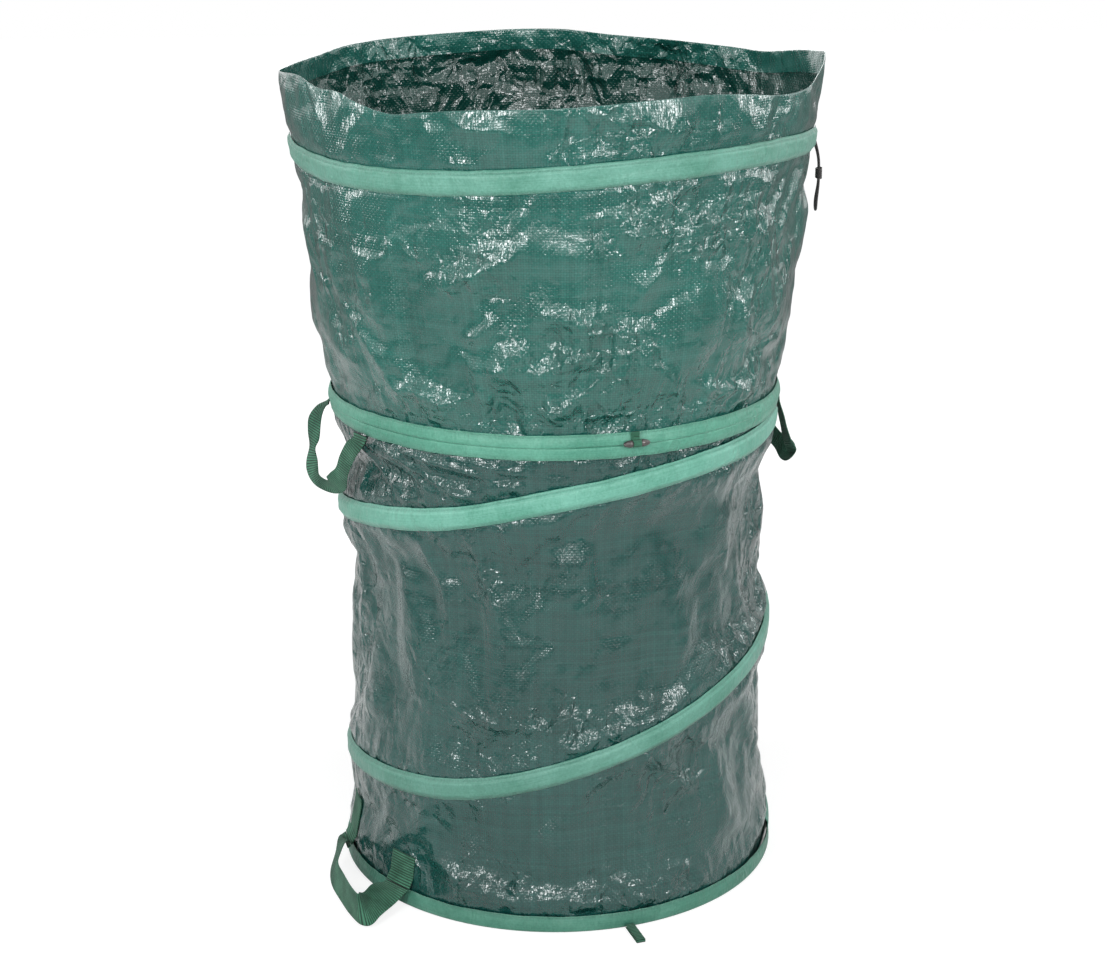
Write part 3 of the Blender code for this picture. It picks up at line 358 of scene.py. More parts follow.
def collar_radius(azimuth, height):
    share = np.maximum((height - BINDING_TOP) / (RIM_HEIGHT - BINDING_TOP), 0.0)
    gather = COLLAR_GATHER_SHARE * np.minimum(share / COLLAR_GATHER_TALL_SHARE, 1.0)
    spread = gather + (1.0 - COLLAR_GATHER_SHARE) * share
    corner = (1.0 - np.abs(np.sin(np.radians(azimuth)))) ** 2
    radius = COLLAR_FOOT_RADIUS + COLLAR_FLARE * spread + COLLAR_CORNER * corner * share**COLLAR_CORNER_POWER
    return radius + collar_sway(azimuth, height)


def collar_sway(azimuth, height):
    """The slack collar's broad ins and outs, which the casing and the cord follow."""
    round_bag = np.asarray(azimuth, float) / 360.0
    wave = noise(round_bag * 11, height * 7.0, 21, 11) * 0.0030
    wave = wave + noise(round_bag * 23, height * 9.0 + 3.0, 22, 23) * 0.0016
    fade = eased((height - BINDING_TOP - 0.01) / 0.08) * eased((from_side(azimuth) - 7.0) / 12.0)
    return wave * fade


def cord_radius(azimuth):
    return collar_radius(azimuth, casing_height(azimuth)) + CLOTH / 2 + GAP + CORD_DIAMETER / 2


# Noise, seeded, which closes on itself round the bag

def noise(u, v, seed, period):
    """Smooth noise from about -1 to 1 that repeats after period cells of u."""
    table = np.random.default_rng(seed).uniform(0.0, 2.0 * np.pi, (period, 256))
    u, v = np.broadcast_arrays(np.asarray(u, float), np.asarray(v, float))
    whole_u, whole_v = np.floor(u).astype(int), np.floor(v).astype(int)
    part_u, part_v = u - whole_u, v - whole_v

    def corner(du, dv):
        turn = table[(whole_u + du) % period, (whole_v + dv) % 256]
        return np.cos(turn) * (part_u - du) + np.sin(turn) * (part_v - dv)

    mix_u = part_u**3 * (part_u * (part_u * 6 - 15) + 10)
    mix_v = part_v**3 * (part_v * (part_v * 6 - 15) + 10)
    low = corner(0, 0) + (corner(1, 0) - corner(0, 0)) * mix_u
    high = corner(0, 1) + (corner(1, 1) - corner(0, 1)) * mix_u
    return 1.5 * (low + (high - low) * mix_v)


def facets(u, v, seed, period):
    """Flat facets between random heights, from -1 to 1: film that has been crumpled."""
    table = np.random.default_rng(seed).uniform(-1.0, 1.0, (period, 256))
    u = u + 0.42 * noise(u * 0.9, v * 0.9, seed + 1, max(int(period * 0.9), 1))
    v = v + 0.42 * noise(u * 0.9, v * 0.9, seed + 2, max(int(period * 0.9), 1))
    whole_u, whole_v = np.floor(u).astype(int), np.floor(v).astype(int)
    part_u, part_v = u - whole_u, v - whole_v

    def at(du, dv):
        return table[(whole_u + du) % period, (whole_v + dv) % 256]

    low = at(0, 0) + part_u * (at(1, 0) - at(0, 0)) + part_v * (at(0, 1) - at(0, 0))
    high = at(1, 1) + (1 - part_u) * (at(0, 1) - at(1, 1)) + (1 - part_v) * (at(1, 0) - at(1, 1))
    return np.where(part_u + part_v < 1.0, low, high)


def crease_field(azimuth, height, seed, cell_wide, cell_tall):
    """Crumples at three sizes, as a height from about -1 to 1."""
    total = 0.0
    for step, (shrink, share) in enumerate(((1.0, 0.64), (0.5, 0.25), (0.27, 0.11))):
        period = 10 * round(1.53 / (cell_wide * shrink) / 10)
        across, up = azimuth / 360.0 * period, height / (cell_tall * shrink)
        total = total + share * facets(across, up, seed + 7 * step, period)
    return total


# Meshes

def add_object(name, data, material, slot):
    item = bpy.data.objects.new(name, data)
    bpy.context.scene.collection.objects.link(item)
    item.data.materials.clear()
    item.data.materials.append(material)
    return item


def put_on(item, node, body, collapses=False):
    """Rides a piece on its body in place of a node. What collapses gets a mesh of its own."""
    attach(item, body)
    if collapses:
        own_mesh(item)
    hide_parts(node)
    return item


def grid_mesh(name, points, uv, closed=False):
    """A smooth mesh over points[row, column], which may close round, with UVs in metres."""
    rows, columns = points.shape[:2]
    index = np.arange(rows * columns).reshape(rows, columns)
    beside = np.roll(index, -1, axis=1)
    spans = columns if closed else columns - 1
    faces = np.stack([index[:-1, :spans], index[1:, :spans], beside[1:, :spans], beside[:-1, :spans]], -1)
    mesh = bpy.data.meshes.new(name)
    mesh.from_pydata(points.reshape(-1, 3).tolist(), [], faces.reshape(-1, 4).tolist())
    here, beyond = uv[:, :spans], uv[:, 1:][:, :spans]
    corners = np.stack([here[:-1], here[1:], beyond[1:], beyond[:-1]], axis=2)
    mesh.uv_layers.new(name="UVMap").data.foreach_set("uv", corners.reshape(-1).astype(np.float32))
    mesh.shade_smooth()
    return mesh


def band_uv(points, closed=False):
    """UVs in metres along and across a grid of points, measured on its middle row and one column."""
    if closed:
        points = np.concatenate([points, points[:, :1]], axis=1)
    u = lengths_along(points[points.shape[0] // 2])
    v = lengths_along(points[:, points.shape[1] // 3])
    return np.stack(np.meshgrid(u, v), axis=-1)


def settled(item):
    """Applies an object's modifiers."""
    graph = bpy.context.evaluated_depsgraph_get()
    shape = item.evaluated_get(graph)
    mesh = bpy.data.meshes.new_from_object(shape, preserve_all_data_layers=True, depsgraph=graph)
    old = item.data
    item.modifiers.clear()
    item.data = mesh
    bpy.data.meshes.remove(old)
    item.data.shade_smooth()


def thicken(item, thickness):
    solid = item.modifiers.new("thickness", "SOLIDIFY")
    solid.thickness = thickness
    solid.offset = 0.0
    solid.use_even_offset = False
    settled(item)


def refine(item):
    fine = item.modifiers.new("fine", "SUBSURF")
    fine.levels = 1
    fine.render_levels = 1
    settled(item)


def points_of(mesh):
    flat = np.empty(len(mesh.vertices) * 3, np.float32)
    mesh.vertices.foreach_get("co", flat)
    return flat.reshape(-1, 3).astype(float)


def set_points(item, points):
    item.data.vertices.foreach_set("co", points.reshape(-1).astype(np.float32))
    item.data.update()


def around(points):
    return np.degrees(np.arctan2(-points[:, 1], points[:, 0]))


def radius_of(points):
    return np.hypot(points[..., 0], points[..., 1])


def push_out(points, amount):
    """Points moved away from the bag's axis."""
    radius = radius_of(points)
    moved = points.copy()
    moved[:, :2] *= ((radius + amount) / radius)[:, None]
    return moved


def buckled_by_cloth(item, held, frames, growth, bending):
    """Lets Blender's cloth buckle between its pins as it grows, and gives the points it ends with."""
    pins = item.vertex_groups.new(name="pins")
    pins.add([int(index) for index in np.nonzero(held)[0]], 1.0, "REPLACE")
    cloth = item.modifiers.new("cloth", "CLOTH")
    for name, value in (
        ("quality", 5), ("mass", 0.15), ("tension_stiffness", 40), ("compression_stiffness", 40),
        ("shear_stiffness", 20), ("bending_stiffness", bending), ("air_damping", 2.0),
        ("vertex_group_mass", "pins"), ("shrink_min", -growth),
    ):
        setattr(cloth.settings, name, value)
    cloth.settings.effector_weights.gravity = 0.0
    cloth.collision_settings.use_collision = False
    cloth.point_cache.frame_start = 1
    cloth.point_cache.frame_end = frames
    for number in range(1, frames + 1):
        bpy.context.scene.frame_set(number)
    shape = item.evaluated_get(bpy.context.evaluated_depsgraph_get())
    points = points_of(shape.to_mesh())
    shape.to_mesh_clear()
    item.modifiers.clear()
    item.vertex_groups.clear()
    bpy.context.scene.frame_set(1)
    return points


def soft_limit(value, low, high):
    """Values that come no lower than -low and no higher than high, bent in smoothly."""
    return np.where(value < 0, -low * np.tanh(-value / low), high * np.tanh(value / high))


# How far up or down the cloth may settle
SETTLE_RISE = 0.003


def buckle(item, held, base, frames, growth, bending, inward, out):
    """Buckles a sheet, then keeps it within its reach inward and outward from its base points."""
    moved = buckled_by_cloth(item, held, frames, growth, bending)
    settle = push_out(base, soft_limit(radius_of(moved) - radius_of(base), inward, out))
    settle[:, 2] = base[:, 2] + np.clip(moved[:, 2] - base[:, 2], -SETTLE_RISE, SETTLE_RISE)
    set_points(item, settle)


def tube_mesh(name, points, radius, sides=10):
    """A closed round tube along points, with UVs in metres."""
    points = np.asarray(points, float)
    tangents = np.gradient(points, axis=0)
    tangents /= np.linalg.norm(tangents, axis=1)[:, None]
    side = np.cross(tangents[0], (0.0, 0.0, 1.0))
    rings = []
    turns = np.linspace(0.0, 2.0 * np.pi, sides, endpoint=False)
    for point, tangent in zip(points, tangents):
        side = side - tangent * side.dot(tangent)
        side /= np.linalg.norm(side)
        other = np.cross(tangent, side)
        rings.append(point + radius * (np.cos(turns)[:, None] * side + np.sin(turns)[:, None] * other))
    about = np.linspace(0.0, 2.0 * np.pi * radius, sides + 1)
    uv = np.stack(np.meshgrid(lengths_along(points), about, indexing="ij"), axis=-1)
    return capped(grid_mesh(name, np.array(rings), uv, closed=True))


def capped(mesh):
    """Closes a tube's two open ends and turns its faces outward."""
    shape = bmesh.new()
    shape.from_mesh(mesh)
    edges = [edge for edge in shape.edges if edge.is_boundary]
    bmesh.ops.holes_fill(shape, edges=edges, sides=0)
    bmesh.ops.recalc_face_normals(shape, faces=shape.faces[:])
    shape.to_mesh(mesh)
    shape.free()
    mesh.shade_smooth()
    return mesh


def cubic_at(points, low, s):
    a = points[low - 1] if low > 0 else points[0] * 2 - points[1]
    b, c = points[low], points[low + 1]
    d = points[low + 2] if low + 2 < len(points) else points[-1] * 2 - points[-2]
    return (
        0.5 * (2 * b + (c - a) * s + (2 * a - 5 * b + 4 * c - d) * s**2)
        + 0.5 * (3 * b - a - 3 * c + d) * s**3
    )


def even_curve(stations, steps):
    """Stations of any width, on a smooth curve, at even steps of their first three numbers."""
    stations = np.asarray(stations, float)
    last = len(stations) - 2
    dense = np.array([
        cubic_at(stations, min(int(at), last), at - min(int(at), last))
        for at in np.arange(12 * (len(stations) - 1) + 1) / 12
    ])
    lengths = lengths_along(dense[:, :3])
    targets = np.linspace(0.0, lengths[-1], steps + 1)
    return np.stack([np.interp(targets, lengths, dense[:, k]) for k in range(dense.shape[1])], axis=1)


def strap_mesh(name, stations, width, thickness, steps):
    """Webbing with round edges through (middle, width direction) stations."""
    mixed = even_curve([(*middle, *across) for middle, across in stations], steps)
    middles, across = mixed[:, :3], mixed[:, 3:]
    across = across / np.linalg.norm(across, axis=1)[:, None]
    tangents = np.gradient(middles, axis=0)
    normals = np.cross(across, tangents)
    normals /= np.linalg.norm(normals, axis=1)[:, None]
    half, round_edge = width / 2, thickness / 2
    flat_half = half - round_edge
    outline = []
    for way in (1.0, -1.0):
        outline += [(way * x, way * round_edge) for x in np.linspace(-flat_half, flat_half, 9)]
        outline += [
            (way * (flat_half + round_edge * math.sin(turn)), way * round_edge * math.cos(turn))
            for turn in np.linspace(0.0, math.pi, 6)[1:-1]
        ]
    outline = np.array(outline)
    over, out = outline.T
    grid = middles[:, None] + over[None, :, None] * across[:, None] + out[None, :, None] * normals[:, None]
    girth = np.append(over, over[0]) + half
    uv = np.stack(np.meshgrid(lengths_along(middles), girth, indexing="ij"), axis=-1)
    return capped(grid_mesh(name, grid, uv, closed=True))


# Materials

def srgb(red, green, blue):
    """A linear colour from display values of 0 to 255."""
    linear = []
    for value in (red / 255, green / 255, blue / 255):
        linear.append(value / 12.92 if value <= 0.04045 else ((value + 0.055) / 1.055) ** 2.4)
    return (*linear, 1.0)


class Value:
    """A number that a node gives, for use in sums."""

    def __init__(self, graph, socket):
        self.graph, self.socket = graph, socket

    def __add__(self, other):
        return self.graph.math("ADD", self, other)

    def __sub__(self, other):
        return self.graph.math("SUBTRACT", self, other)

    def __mul__(self, other):
        return self.graph.math("MULTIPLY", self, other)

    def __truediv__(self, other):
        return self.graph.math("DIVIDE", self, other)

    def __pow__(self, other):
        return self.graph.math("POWER", self, other)

    def __abs__(self):
        return self.graph.math("ABSOLUTE", self)

    def wave(self, length):
        """A sine that comes back to 0 at each length."""
        return self.graph.math("SINE", self * (math.pi / length))


class Graph:
    """A material's nodes, with short calls to add and join them."""

    def __init__(self, tree, shader, made=None):
        self.tree, self.links, self.shader, self.made = tree, tree.links, tree.nodes[shader], made

    @classmethod
    def material(cls, name):
        material = bpy.data.materials.new(name)
        material.use_nodes = True
        graph = cls(material.node_tree, "Principled BSDF", material)
        coordinates = graph.node("TexCoord")
        graph.uv, graph.place = coordinates.outputs["UV"], coordinates.outputs["Object"]
        split = graph.node("SeparateXYZ", graph.uv)
        graph.u, graph.v = graph.value(split.outputs[0]), graph.value(split.outputs[1])
        return graph

    def value(self, socket):
        return Value(self, socket)

    def node(self, kind, *inputs, settings=(), **named):
        """Adds a node, with its first inputs in order, its named inputs and its settings."""
        node = self.tree.nodes.new("ShaderNode" + kind)
        for name, value in settings:
            setattr(node, name, value)
        for socket, value in zip(node.inputs, inputs):
            self.join(value, socket)
        for input_name, value in named.items():
            self.join(value, node.inputs[input_name])
        return node

    def join(self, value, socket):
        value = value.socket if isinstance(value, Value) else value
        if isinstance(value, bpy.types.NodeSocket):
            self.links.new(value, socket)
        else:
            socket.default_value = value

    def math(self, operation, first, second=0.0):
        return self.value(self.node("Math", first, second, settings=[("operation", operation)]).outputs[0])

    def vector(self, operation, *inputs):
        return self.node("VectorMath", *inputs, settings=[("operation", operation)]).outputs

    def noise(self, scale, detail=3.0, roughness=0.55, distortion=0.0, where=None, stretch=None):
        node = self.node(
            "TexNoise", Vector=self.scaled(where or self.place, stretch),
            Scale=scale, Detail=detail, Roughness=roughness, Distortion=distortion,
        )
        return self.value(node.outputs["Fac"])

    def bent_place(self, scale, reach):
        """Object coordinates pushed about by noise, so that cells come out uneven."""
        noise = self.node("TexNoise", Vector=self.place, Scale=scale, Detail=2.0)
        return self.vector("MULTIPLY_ADD", noise.outputs["Color"], (reach, reach, reach), self.place)[0]

    def marked(self, name):
        return self.value(self.node("Attribute", settings=[("attribute_name", name)]).outputs["Fac"])

    def planes(self, scale, where, stretch):
        """Flat facets, each tilted its own way about its own middle, as a height."""
        where = self.scaled(where, stretch)
        cells = self.node("TexVoronoi", Vector=where, Scale=scale)
        edges = self.node("TexVoronoi", settings=[("feature", "DISTANCE_TO_EDGE")], Vector=where, Scale=scale)
        offset = self.vector("SUBTRACT", where, cells.outputs["Position"])[0]
        tilt = self.vector("SUBTRACT", cells.outputs["Color"], (0.5, 0.5, 0.5))[0]
        edge = self.range(self.value(edges.outputs["Distance"]), 0.0, 1.0, 0.0, 0.24)
        return self.value(self.vector("DOT_PRODUCT", offset, tilt)["Value"]) * edge

    def scaled(self, vector, stretch):
        return self.node("Mapping", Vector=vector, Scale=stretch).outputs[0] if stretch else vector

    def random_by(self, value, pitch, shift=0.0):
        """A random number for each strip of width pitch."""
        strip = self.math("FLOOR", value / pitch) + shift
        node = self.node("TexWhiteNoise", settings=[("noise_dimensions", "1D")], W=strip)
        return self.value(node.outputs["Value"])

    def ramp(self, factor, *stops):
        node = self.node("ValToRGB", factor)
        for element, (position, colour) in zip(node.color_ramp.elements, stops):
            element.position = position
            element.color = colour
        return node.outputs[0]

    def tint(self, colour, by):
        """A colour times a grey or another colour."""
        if isinstance(by, Value):
            by = self.node("CombineColor", by, by, by).outputs[0]
        return self.mix(1.0, colour, by, "MULTIPLY")

    def mix(self, factor, first, second, blend="MIX"):
        node = self.node("Mix", settings=[("data_type", "RGBA"), ("blend_type", blend)])
        for index, value in ((0, factor), (6, first), (7, second)):
            self.join(value, node.inputs[index])
        return node.outputs[2]

    def bump(self, height, distance, strength=1.0, after=None):
        node = self.node("Bump", Distance=distance, Strength=strength, Height=height)
        if after is not None:
            self.links.new(after, node.inputs["Normal"])
        return node.outputs[0]

    def range(self, value, low, high, from_low=0.0, from_high=1.0):
        node = self.node(
            "MapRange", value,
            **{"From Min": from_low, "From Max": from_high, "To Min": low, "To Max": high},
        )
        return self.value(node.outputs[0])

    def finish(self, **values):
        """Sets the shader's values and gives what it was made for."""
        for name, value in values.items():
            self.join(value, self.shader.inputs[name.replace("_", " ")])
        return self.made


def woven_cloth(name, dark, light, streaks):
    """Woven plastic tape under a glossy coating, crumpled."""
    graph = Graph.material(name)
    crossing = graph.u.wave(WOVEN_PITCH) * graph.v.wave(WOVEN_PITCH)
    pillow = abs(crossing) ** 0.45
    strips = graph.random_by(graph.u, WOVEN_PITCH) + graph.random_by(graph.v, WOVEN_PITCH, 71.3)
    runs = graph.noise(1.0, 2.0, where=graph.uv, stretch=(240.0, 9.0, 1.0))
    lines = graph.noise(1.0, 2.0, where=graph.uv, stretch=(9.0, 240.0, 1.0))
    cloudy = graph.noise(9.0, 4.0, 0.6)
    tone = strips * 0.11 + (runs + lines) * streaks + cloudy * (0.9 - 2 * streaks)
    tone = tone + graph.math("SIGN", crossing) * 0.03
    colour = graph.ramp(graph.range(tone, 0.0, 1.0, 0.32, 0.80), (0.0, dark), (1.0, light))
    # Painted shade: the weave's valleys between its pillows are darker.
    colour = graph.tint(colour, graph.range(pillow, 0.48, 1.0, 0.0, 0.55))
    # Painted shade: the cloth's inner face is tinted darker, as the bag's inside lies in shade.
    painted_shade_inside = graph.node("NewGeometry").outputs["Backfacing"]
    colour = graph.mix(painted_shade_inside, colour, graph.tint(colour, srgb(160, 180, 178)))
    rough = graph.range(graph.noise(26.0, 4.0, 0.6), 0.10, 0.25, 0.3, 0.7)
    bent = graph.bent_place(9.0, 0.05)
    wide = graph.planes(21.0, bent, (1.0, 1.0, 0.62))
    fine = graph.planes(58.0, bent, (1.0, 1.0, 0.72))
    tiny = graph.planes(140.0, bent, (1.0, 1.0, 0.8))
    much = graph.marked("crumple") * graph.range(graph.noise(11.0, 3.0), 0.45, 1.0, 0.40, 0.60)
    bend = graph.bump((wide * 0.6 + fine * 0.9 + tiny * 0.45) * much, 1.15)
    lifted = pillow * graph.range(crossing, 0.5, 1.5, -0.2, 0.2)
    return graph.finish(
        Base_Color=colour, Roughness=rough, Normal=graph.bump(lifted, 0.00018, after=bend),
        Specular_IOR_Level=0.25, Coat_Weight=0.95, Coat_Roughness=0.07,
        Coat_Normal=graph.bump(lifted, 0.00009, after=bend),
    )


def tape_cloth(name, dark, light, seams, low_shade=1.0):
    """Fine woven tape, with painted shade that darkens it low down. Seams are the places across it of its
    rows of stitches.
    """
    graph = Graph.material(name)
    weave = abs(graph.u.wave(TAPE_PITCH) * graph.v.wave(TAPE_PITCH))
    runs = graph.noise(1.0, 3.0, where=graph.uv, stretch=(12.0, 900.0, 1.0))
    cloudy = graph.noise(16.0, 5.0, 0.65)
    tone = runs * 0.25 + cloudy * 0.5 + graph.noise(420.0, 2.0, 0.6) * 0.25
    colour = graph.ramp(graph.range(tone, 0.0, 1.0, 0.34, 0.66), (0.0, dark), (1.0, light))
    ripple = graph.noise(1.0, 4.0, 0.6, 0.8, where=graph.uv, stretch=(70.0, 28.0, 1.0))
    folds = graph.planes(1.0, graph.uv, (34.0, 48.0, 1.0))
    creases = ripple + folds * graph.range(graph.noise(14.0, 2.0), 0.0, 1.0, 0.45, 0.62) * 1.6
    height, dashes = weave * 0.10, graph.u.wave(STITCH / 2)
    for number, place in enumerate(seams):
        beside = abs(graph.v - place)
        thread = graph.range(beside, 1.0, 0.0, 0.00015, 0.00055) * graph.range(dashes, 0.0, 1.0, -0.7, -0.1)
        groove = graph.range(beside, 1.0, 0.0, 0.0003, 0.0016)
        height = height - groove * 0.6 + thread * 0.9
        # Painted shade in the stitch grooves, less on the raised threads.
        seam_shade = groove * 0.30 - thread * 0.4
        seam_shades = seam_shades + seam_shade if number else seam_shade
    colour = graph.tint(colour, graph.range(seam_shades, 1.0, 0.45))
    # Painted shade: darker towards the bottom of the bag, where the light falls off.
    if low_shade < 1.0:
        level = graph.value(graph.node("SeparateXYZ", graph.place).outputs[2])
        colour = graph.tint(colour, graph.range(level, low_shade, 1.0, 0.18, 0.46))
    return graph.finish(
        Base_Color=colour, Roughness=0.45, Sheen_Weight=0.15, Sheen_Roughness=0.4,
        Normal=graph.bump(height, 0.0004, after=graph.bump(creases, 0.0030)),
    )


def webbing_cloth(name, dark, light, pitch):
    """Webbing: ribs across it and columns of yarn along it."""
    graph = Graph.material(name)
    yarn = graph.range(abs(graph.v.wave(YARN_WIDE)), 0.8, 1.0, 0.0, 0.4)
    height = abs(graph.u.wave(pitch)) ** 0.7 * yarn
    fuzz = graph.noise(900.0, 3.0, 0.7)
    tone = graph.noise(35.0, 4.0, 0.6) * 0.7 + fuzz * 0.3
    colour = graph.ramp(graph.range(tone, 0.0, 1.0, 0.35, 0.65), (0.0, dark), (1.0, light))
    # Painted shade: the webbing is darker between its ribs and yarns.
    colour = graph.tint(colour, graph.range(height, 0.06, 1.15, 0.15, 0.9))
    return graph.finish(
        Base_Color=colour, Roughness=0.75, Specular_IOR_Level=0.25, Sheen_Weight=0.06,
        Normal=graph.bump(fuzz, 0.00012, 0.6, graph.bump(height, 0.00090)),
    )


def braided_cord(name):
    graph = Graph.material(name)
    across, down = graph.u * 2100.0, graph.v * 2800.0
    braid = abs(graph.math("SINE", across + down) * graph.math("SINE", across - down))
    # Painted shade: the braid is darker in its grooves, with noise in the tone.
    colour = graph.ramp(braid * graph.noise(1500.0, 2.0), (0.0, srgb(12, 11, 11)), (0.6, srgb(44, 38, 37)))
    return graph.finish(Base_Color=colour, Roughness=0.6, Normal=graph.bump(braid, 0.0003), Sheen_Weight=0.2)


def drawn_steel(name):
    graph = Graph.material(name)
    lines = graph.noise(1.0, 4.0, 0.6, stretch=(60.0, 60.0, 900.0))
    stain = graph.noise(40.0, 4.0, 0.6)
    colour = graph.ramp(stain, (0.35, srgb(118, 116, 113)), (0.7, srgb(168, 168, 168)))
    return graph.finish(
        Base_Color=colour, Metallic=1.0, Roughness=graph.range(lines, 0.24, 0.42),
        Normal=graph.bump(lines, 0.0001, 0.5),
    )


def toggle_plastic(name):
    graph = Graph.material(name)
    colour = graph.ramp(graph.noise(140.0, 4.0, 0.6, 1.5), (0.3, srgb(56, 52, 52)), (0.7, srgb(102, 96, 94)))
    wear = graph.noise(700.0, 3.0, 0.7)
    return graph.finish(
        Base_Color=colour, Roughness=graph.range(wear, 0.22, 0.42, 0.3, 0.7), Metallic=0.25,
        Normal=graph.bump(wear, 0.00008, 0.5), Coat_Weight=0.35, Coat_Roughness=0.15,
    )


def floor_paint(name):
    """A pale floor. To the camera it is lifted to white, and more so far out, and its shadow stays."""
    graph = Graph.material(name)
    colour = graph.ramp(graph.noise(3.0, 2.0), (0.0, (0.80, 0.80, 0.80, 1)), (1.0, (0.84, 0.84, 0.84, 1)))
    material = graph.finish(Base_Color=colour, Roughness=0.9, Specular_IOR_Level=0.1)
    out = graph.value(graph.vector("LENGTH", graph.place)["Value"])
    light = graph.node("Emission", Strength=graph.range(out, 0.80, 0.99, 0.5, 1.9))
    faint = graph.node("BsdfDiffuse", (0.30, 0.30, 0.30, 1))
    both = graph.node("AddShader", light.outputs[0], faint.outputs[0])
    camera_ray = graph.node("LightPath").outputs["Is Camera Ray"]
    pick = graph.node("MixShader", camera_ray, graph.shader.outputs[0], both.outputs[0])
    graph.join(pick.outputs[0], graph.tree.nodes["Material Output"].inputs["Surface"])
    return material


# Widths of a strip of the weave, a thread of the tape, a stitch and a yarn of the webbing
WOVEN_PITCH = 0.0026
TAPE_PITCH = 0.00062
STITCH = 0.0036
YARN_WIDE = 0.0016
WALL_CLOTH = woven_cloth("wall_cloth", srgb(6, 56, 52), srgb(28, 84, 78), 0.20)
COLLAR_CLOTH = woven_cloth("collar_cloth", srgb(14, 76, 68), srgb(44, 108, 98), 0.12)
BAND_TAPE = tape_cloth("band_tape", srgb(72, 142, 120), srgb(124, 186, 168), (0.0019, 0.0246), 0.68)
CASING_TAPE = tape_cloth("casing_tape", srgb(64, 126, 106), srgb(112, 168, 152), (0.0018, 0.0240))
RING_TAPE = tape_cloth("ring_tape", srgb(50, 122, 100), srgb(98, 164, 142), (0.0018,), 0.72)
WEBBING_CLOTH = webbing_cloth("webbing_cloth", srgb(32, 78, 59), srgb(74, 128, 103), 0.0030)
RIBBON_CLOTH = webbing_cloth("ribbon_cloth", srgb(38, 98, 74), srgb(68, 132, 104), 0.0012)
CORD_BRAID = braided_cord("cord_braid")
STEEL = drawn_steel("drawn_steel")
TOGGLE_PLASTIC = toggle_plastic("toggle_plastic")


# Camera, light and floor

# The camera, fitted to the photo: its place, lens and turns about Z, X and its own axis
CAMERA_PLACE = (0.0, -2.378, 1.179)
CAMERA_LENS = 71.545
CAMERA_TURNS = ((0.04, "Z"), (72.5, "X"), (-0.48, "Z"))
WHITE = (1.0, 1.0, 1.0, 1.0)
AMBIENT = 0.17
FLOOR_REACH = 9.0
FLOOR_HEIGHT = -0.0005
# Name, place, aim, size and power
LAMPS = (
    ("key", (-0.95, -1.60, 1.15), (0.0, -0.1, 0.66), (0.24, 1.00), 16.0),
    ("fill", (1.05, -1.50, 1.12), (0.0, -0.1, 0.66), (0.22, 1.00), 13.0),
    ("side_left", (-1.70, 0.10, 1.15), (0.0, 0.0, 0.55), (0.18, 1.20), 9.0),
    ("side_right", (1.70, 0.20, 1.15), (0.0, 0.0, 0.55), (0.18, 1.20), 9.0),
    ("front", (0.10, -1.95, 1.45), (0.0, -0.1, 0.60), (1.10, 0.20), 11.0),
    ("top", (0.0, -0.2, 2.2), (0.0, 0.0, 0.7), (0.8, 0.5), 11.0),
    ("back", (0.0, 1.7, 1.5), (0.0, 0.0, 0.5), (0.8, 0.8), 8.0),
)


def make_camera():
    data = bpy.data.cameras.new("camera")
    data.lens = CAMERA_LENS
    data.sensor_width = 36.0
    data.clip_end = 50.0
    camera = bpy.data.objects.new("camera", data)
    bpy.context.scene.collection.objects.link(camera)
    turn, pitch, roll = (Matrix.Rotation(math.radians(angle), 4, axis) for angle, axis in CAMERA_TURNS)
    camera.matrix_world = Matrix.Translation(CAMERA_PLACE) @ turn @ pitch @ roll
    bpy.context.scene.camera = camera


def softbox(name, place, aim, size, power):
    data = bpy.data.lights.new(name, "AREA")
    data.shape = "RECTANGLE"
    data.size, data.size_y = size
    data.energy = power
    lamp = bpy.data.objects.new(name, data)
    lamp.location = place
    lamp.rotation_mode = "QUATERNION"
    lamp.rotation_quaternion = (Vector(aim) - Vector(place)).to_track_quat("-Z", "Y")
    bpy.context.scene.collection.objects.link(lamp)


def make_studio():
    mesh = bpy.data.meshes.new("floor")
    corners = [(x * FLOOR_REACH, y * FLOOR_REACH, 0.0) for x, y in ((-1, -1), (1, -1), (1, 1), (-1, 1))]
    mesh.from_pydata(corners, [], [(0, 1, 2, 3)])
    floor = bpy.data.objects.new("floor", mesh)
    floor.location.z = FLOOR_HEIGHT
    mesh.materials.append(floor_paint("pale_floor"))
    bpy.context.scene.collection.objects.link(floor)
    world = bpy.data.worlds.new("studio")
    bpy.context.scene.world = world
    world.use_nodes = True
    graph = Graph(world.node_tree, "Background")
    graph.finish(Color=WHITE, Strength=AMBIENT)
    white = graph.node("Background", WHITE, 1.0)
    path = graph.node("LightPath").outputs
    seen = graph.math("MAXIMUM", path["Is Camera Ray"], path["Is Transmission Ray"])
    shown = graph.math("MAXIMUM", seen, path["Is Glossy Ray"])
    mix = graph.node("MixShader", shown, graph.shader.outputs[0], white.outputs[0])
    graph.join(mix.outputs[0], graph.tree.nodes["World Output"].inputs["Surface"])
    for lamp in LAMPS:
        softbox(*lamp)


# Drawstring, its tail and its knot

TAIL_STEPS = 132
KNOT_TURNS = 5.0
KNOT_STAND_OFF = 0.0013
WINDING_RADIUS = 0.0012


def cord_along(name, points, radius, sides, node, body):
    mesh = tube_mesh(name, points, radius, sides)
    return put_on(add_object(name, mesh, CORD_BRAID, "black_cord"), node, body)


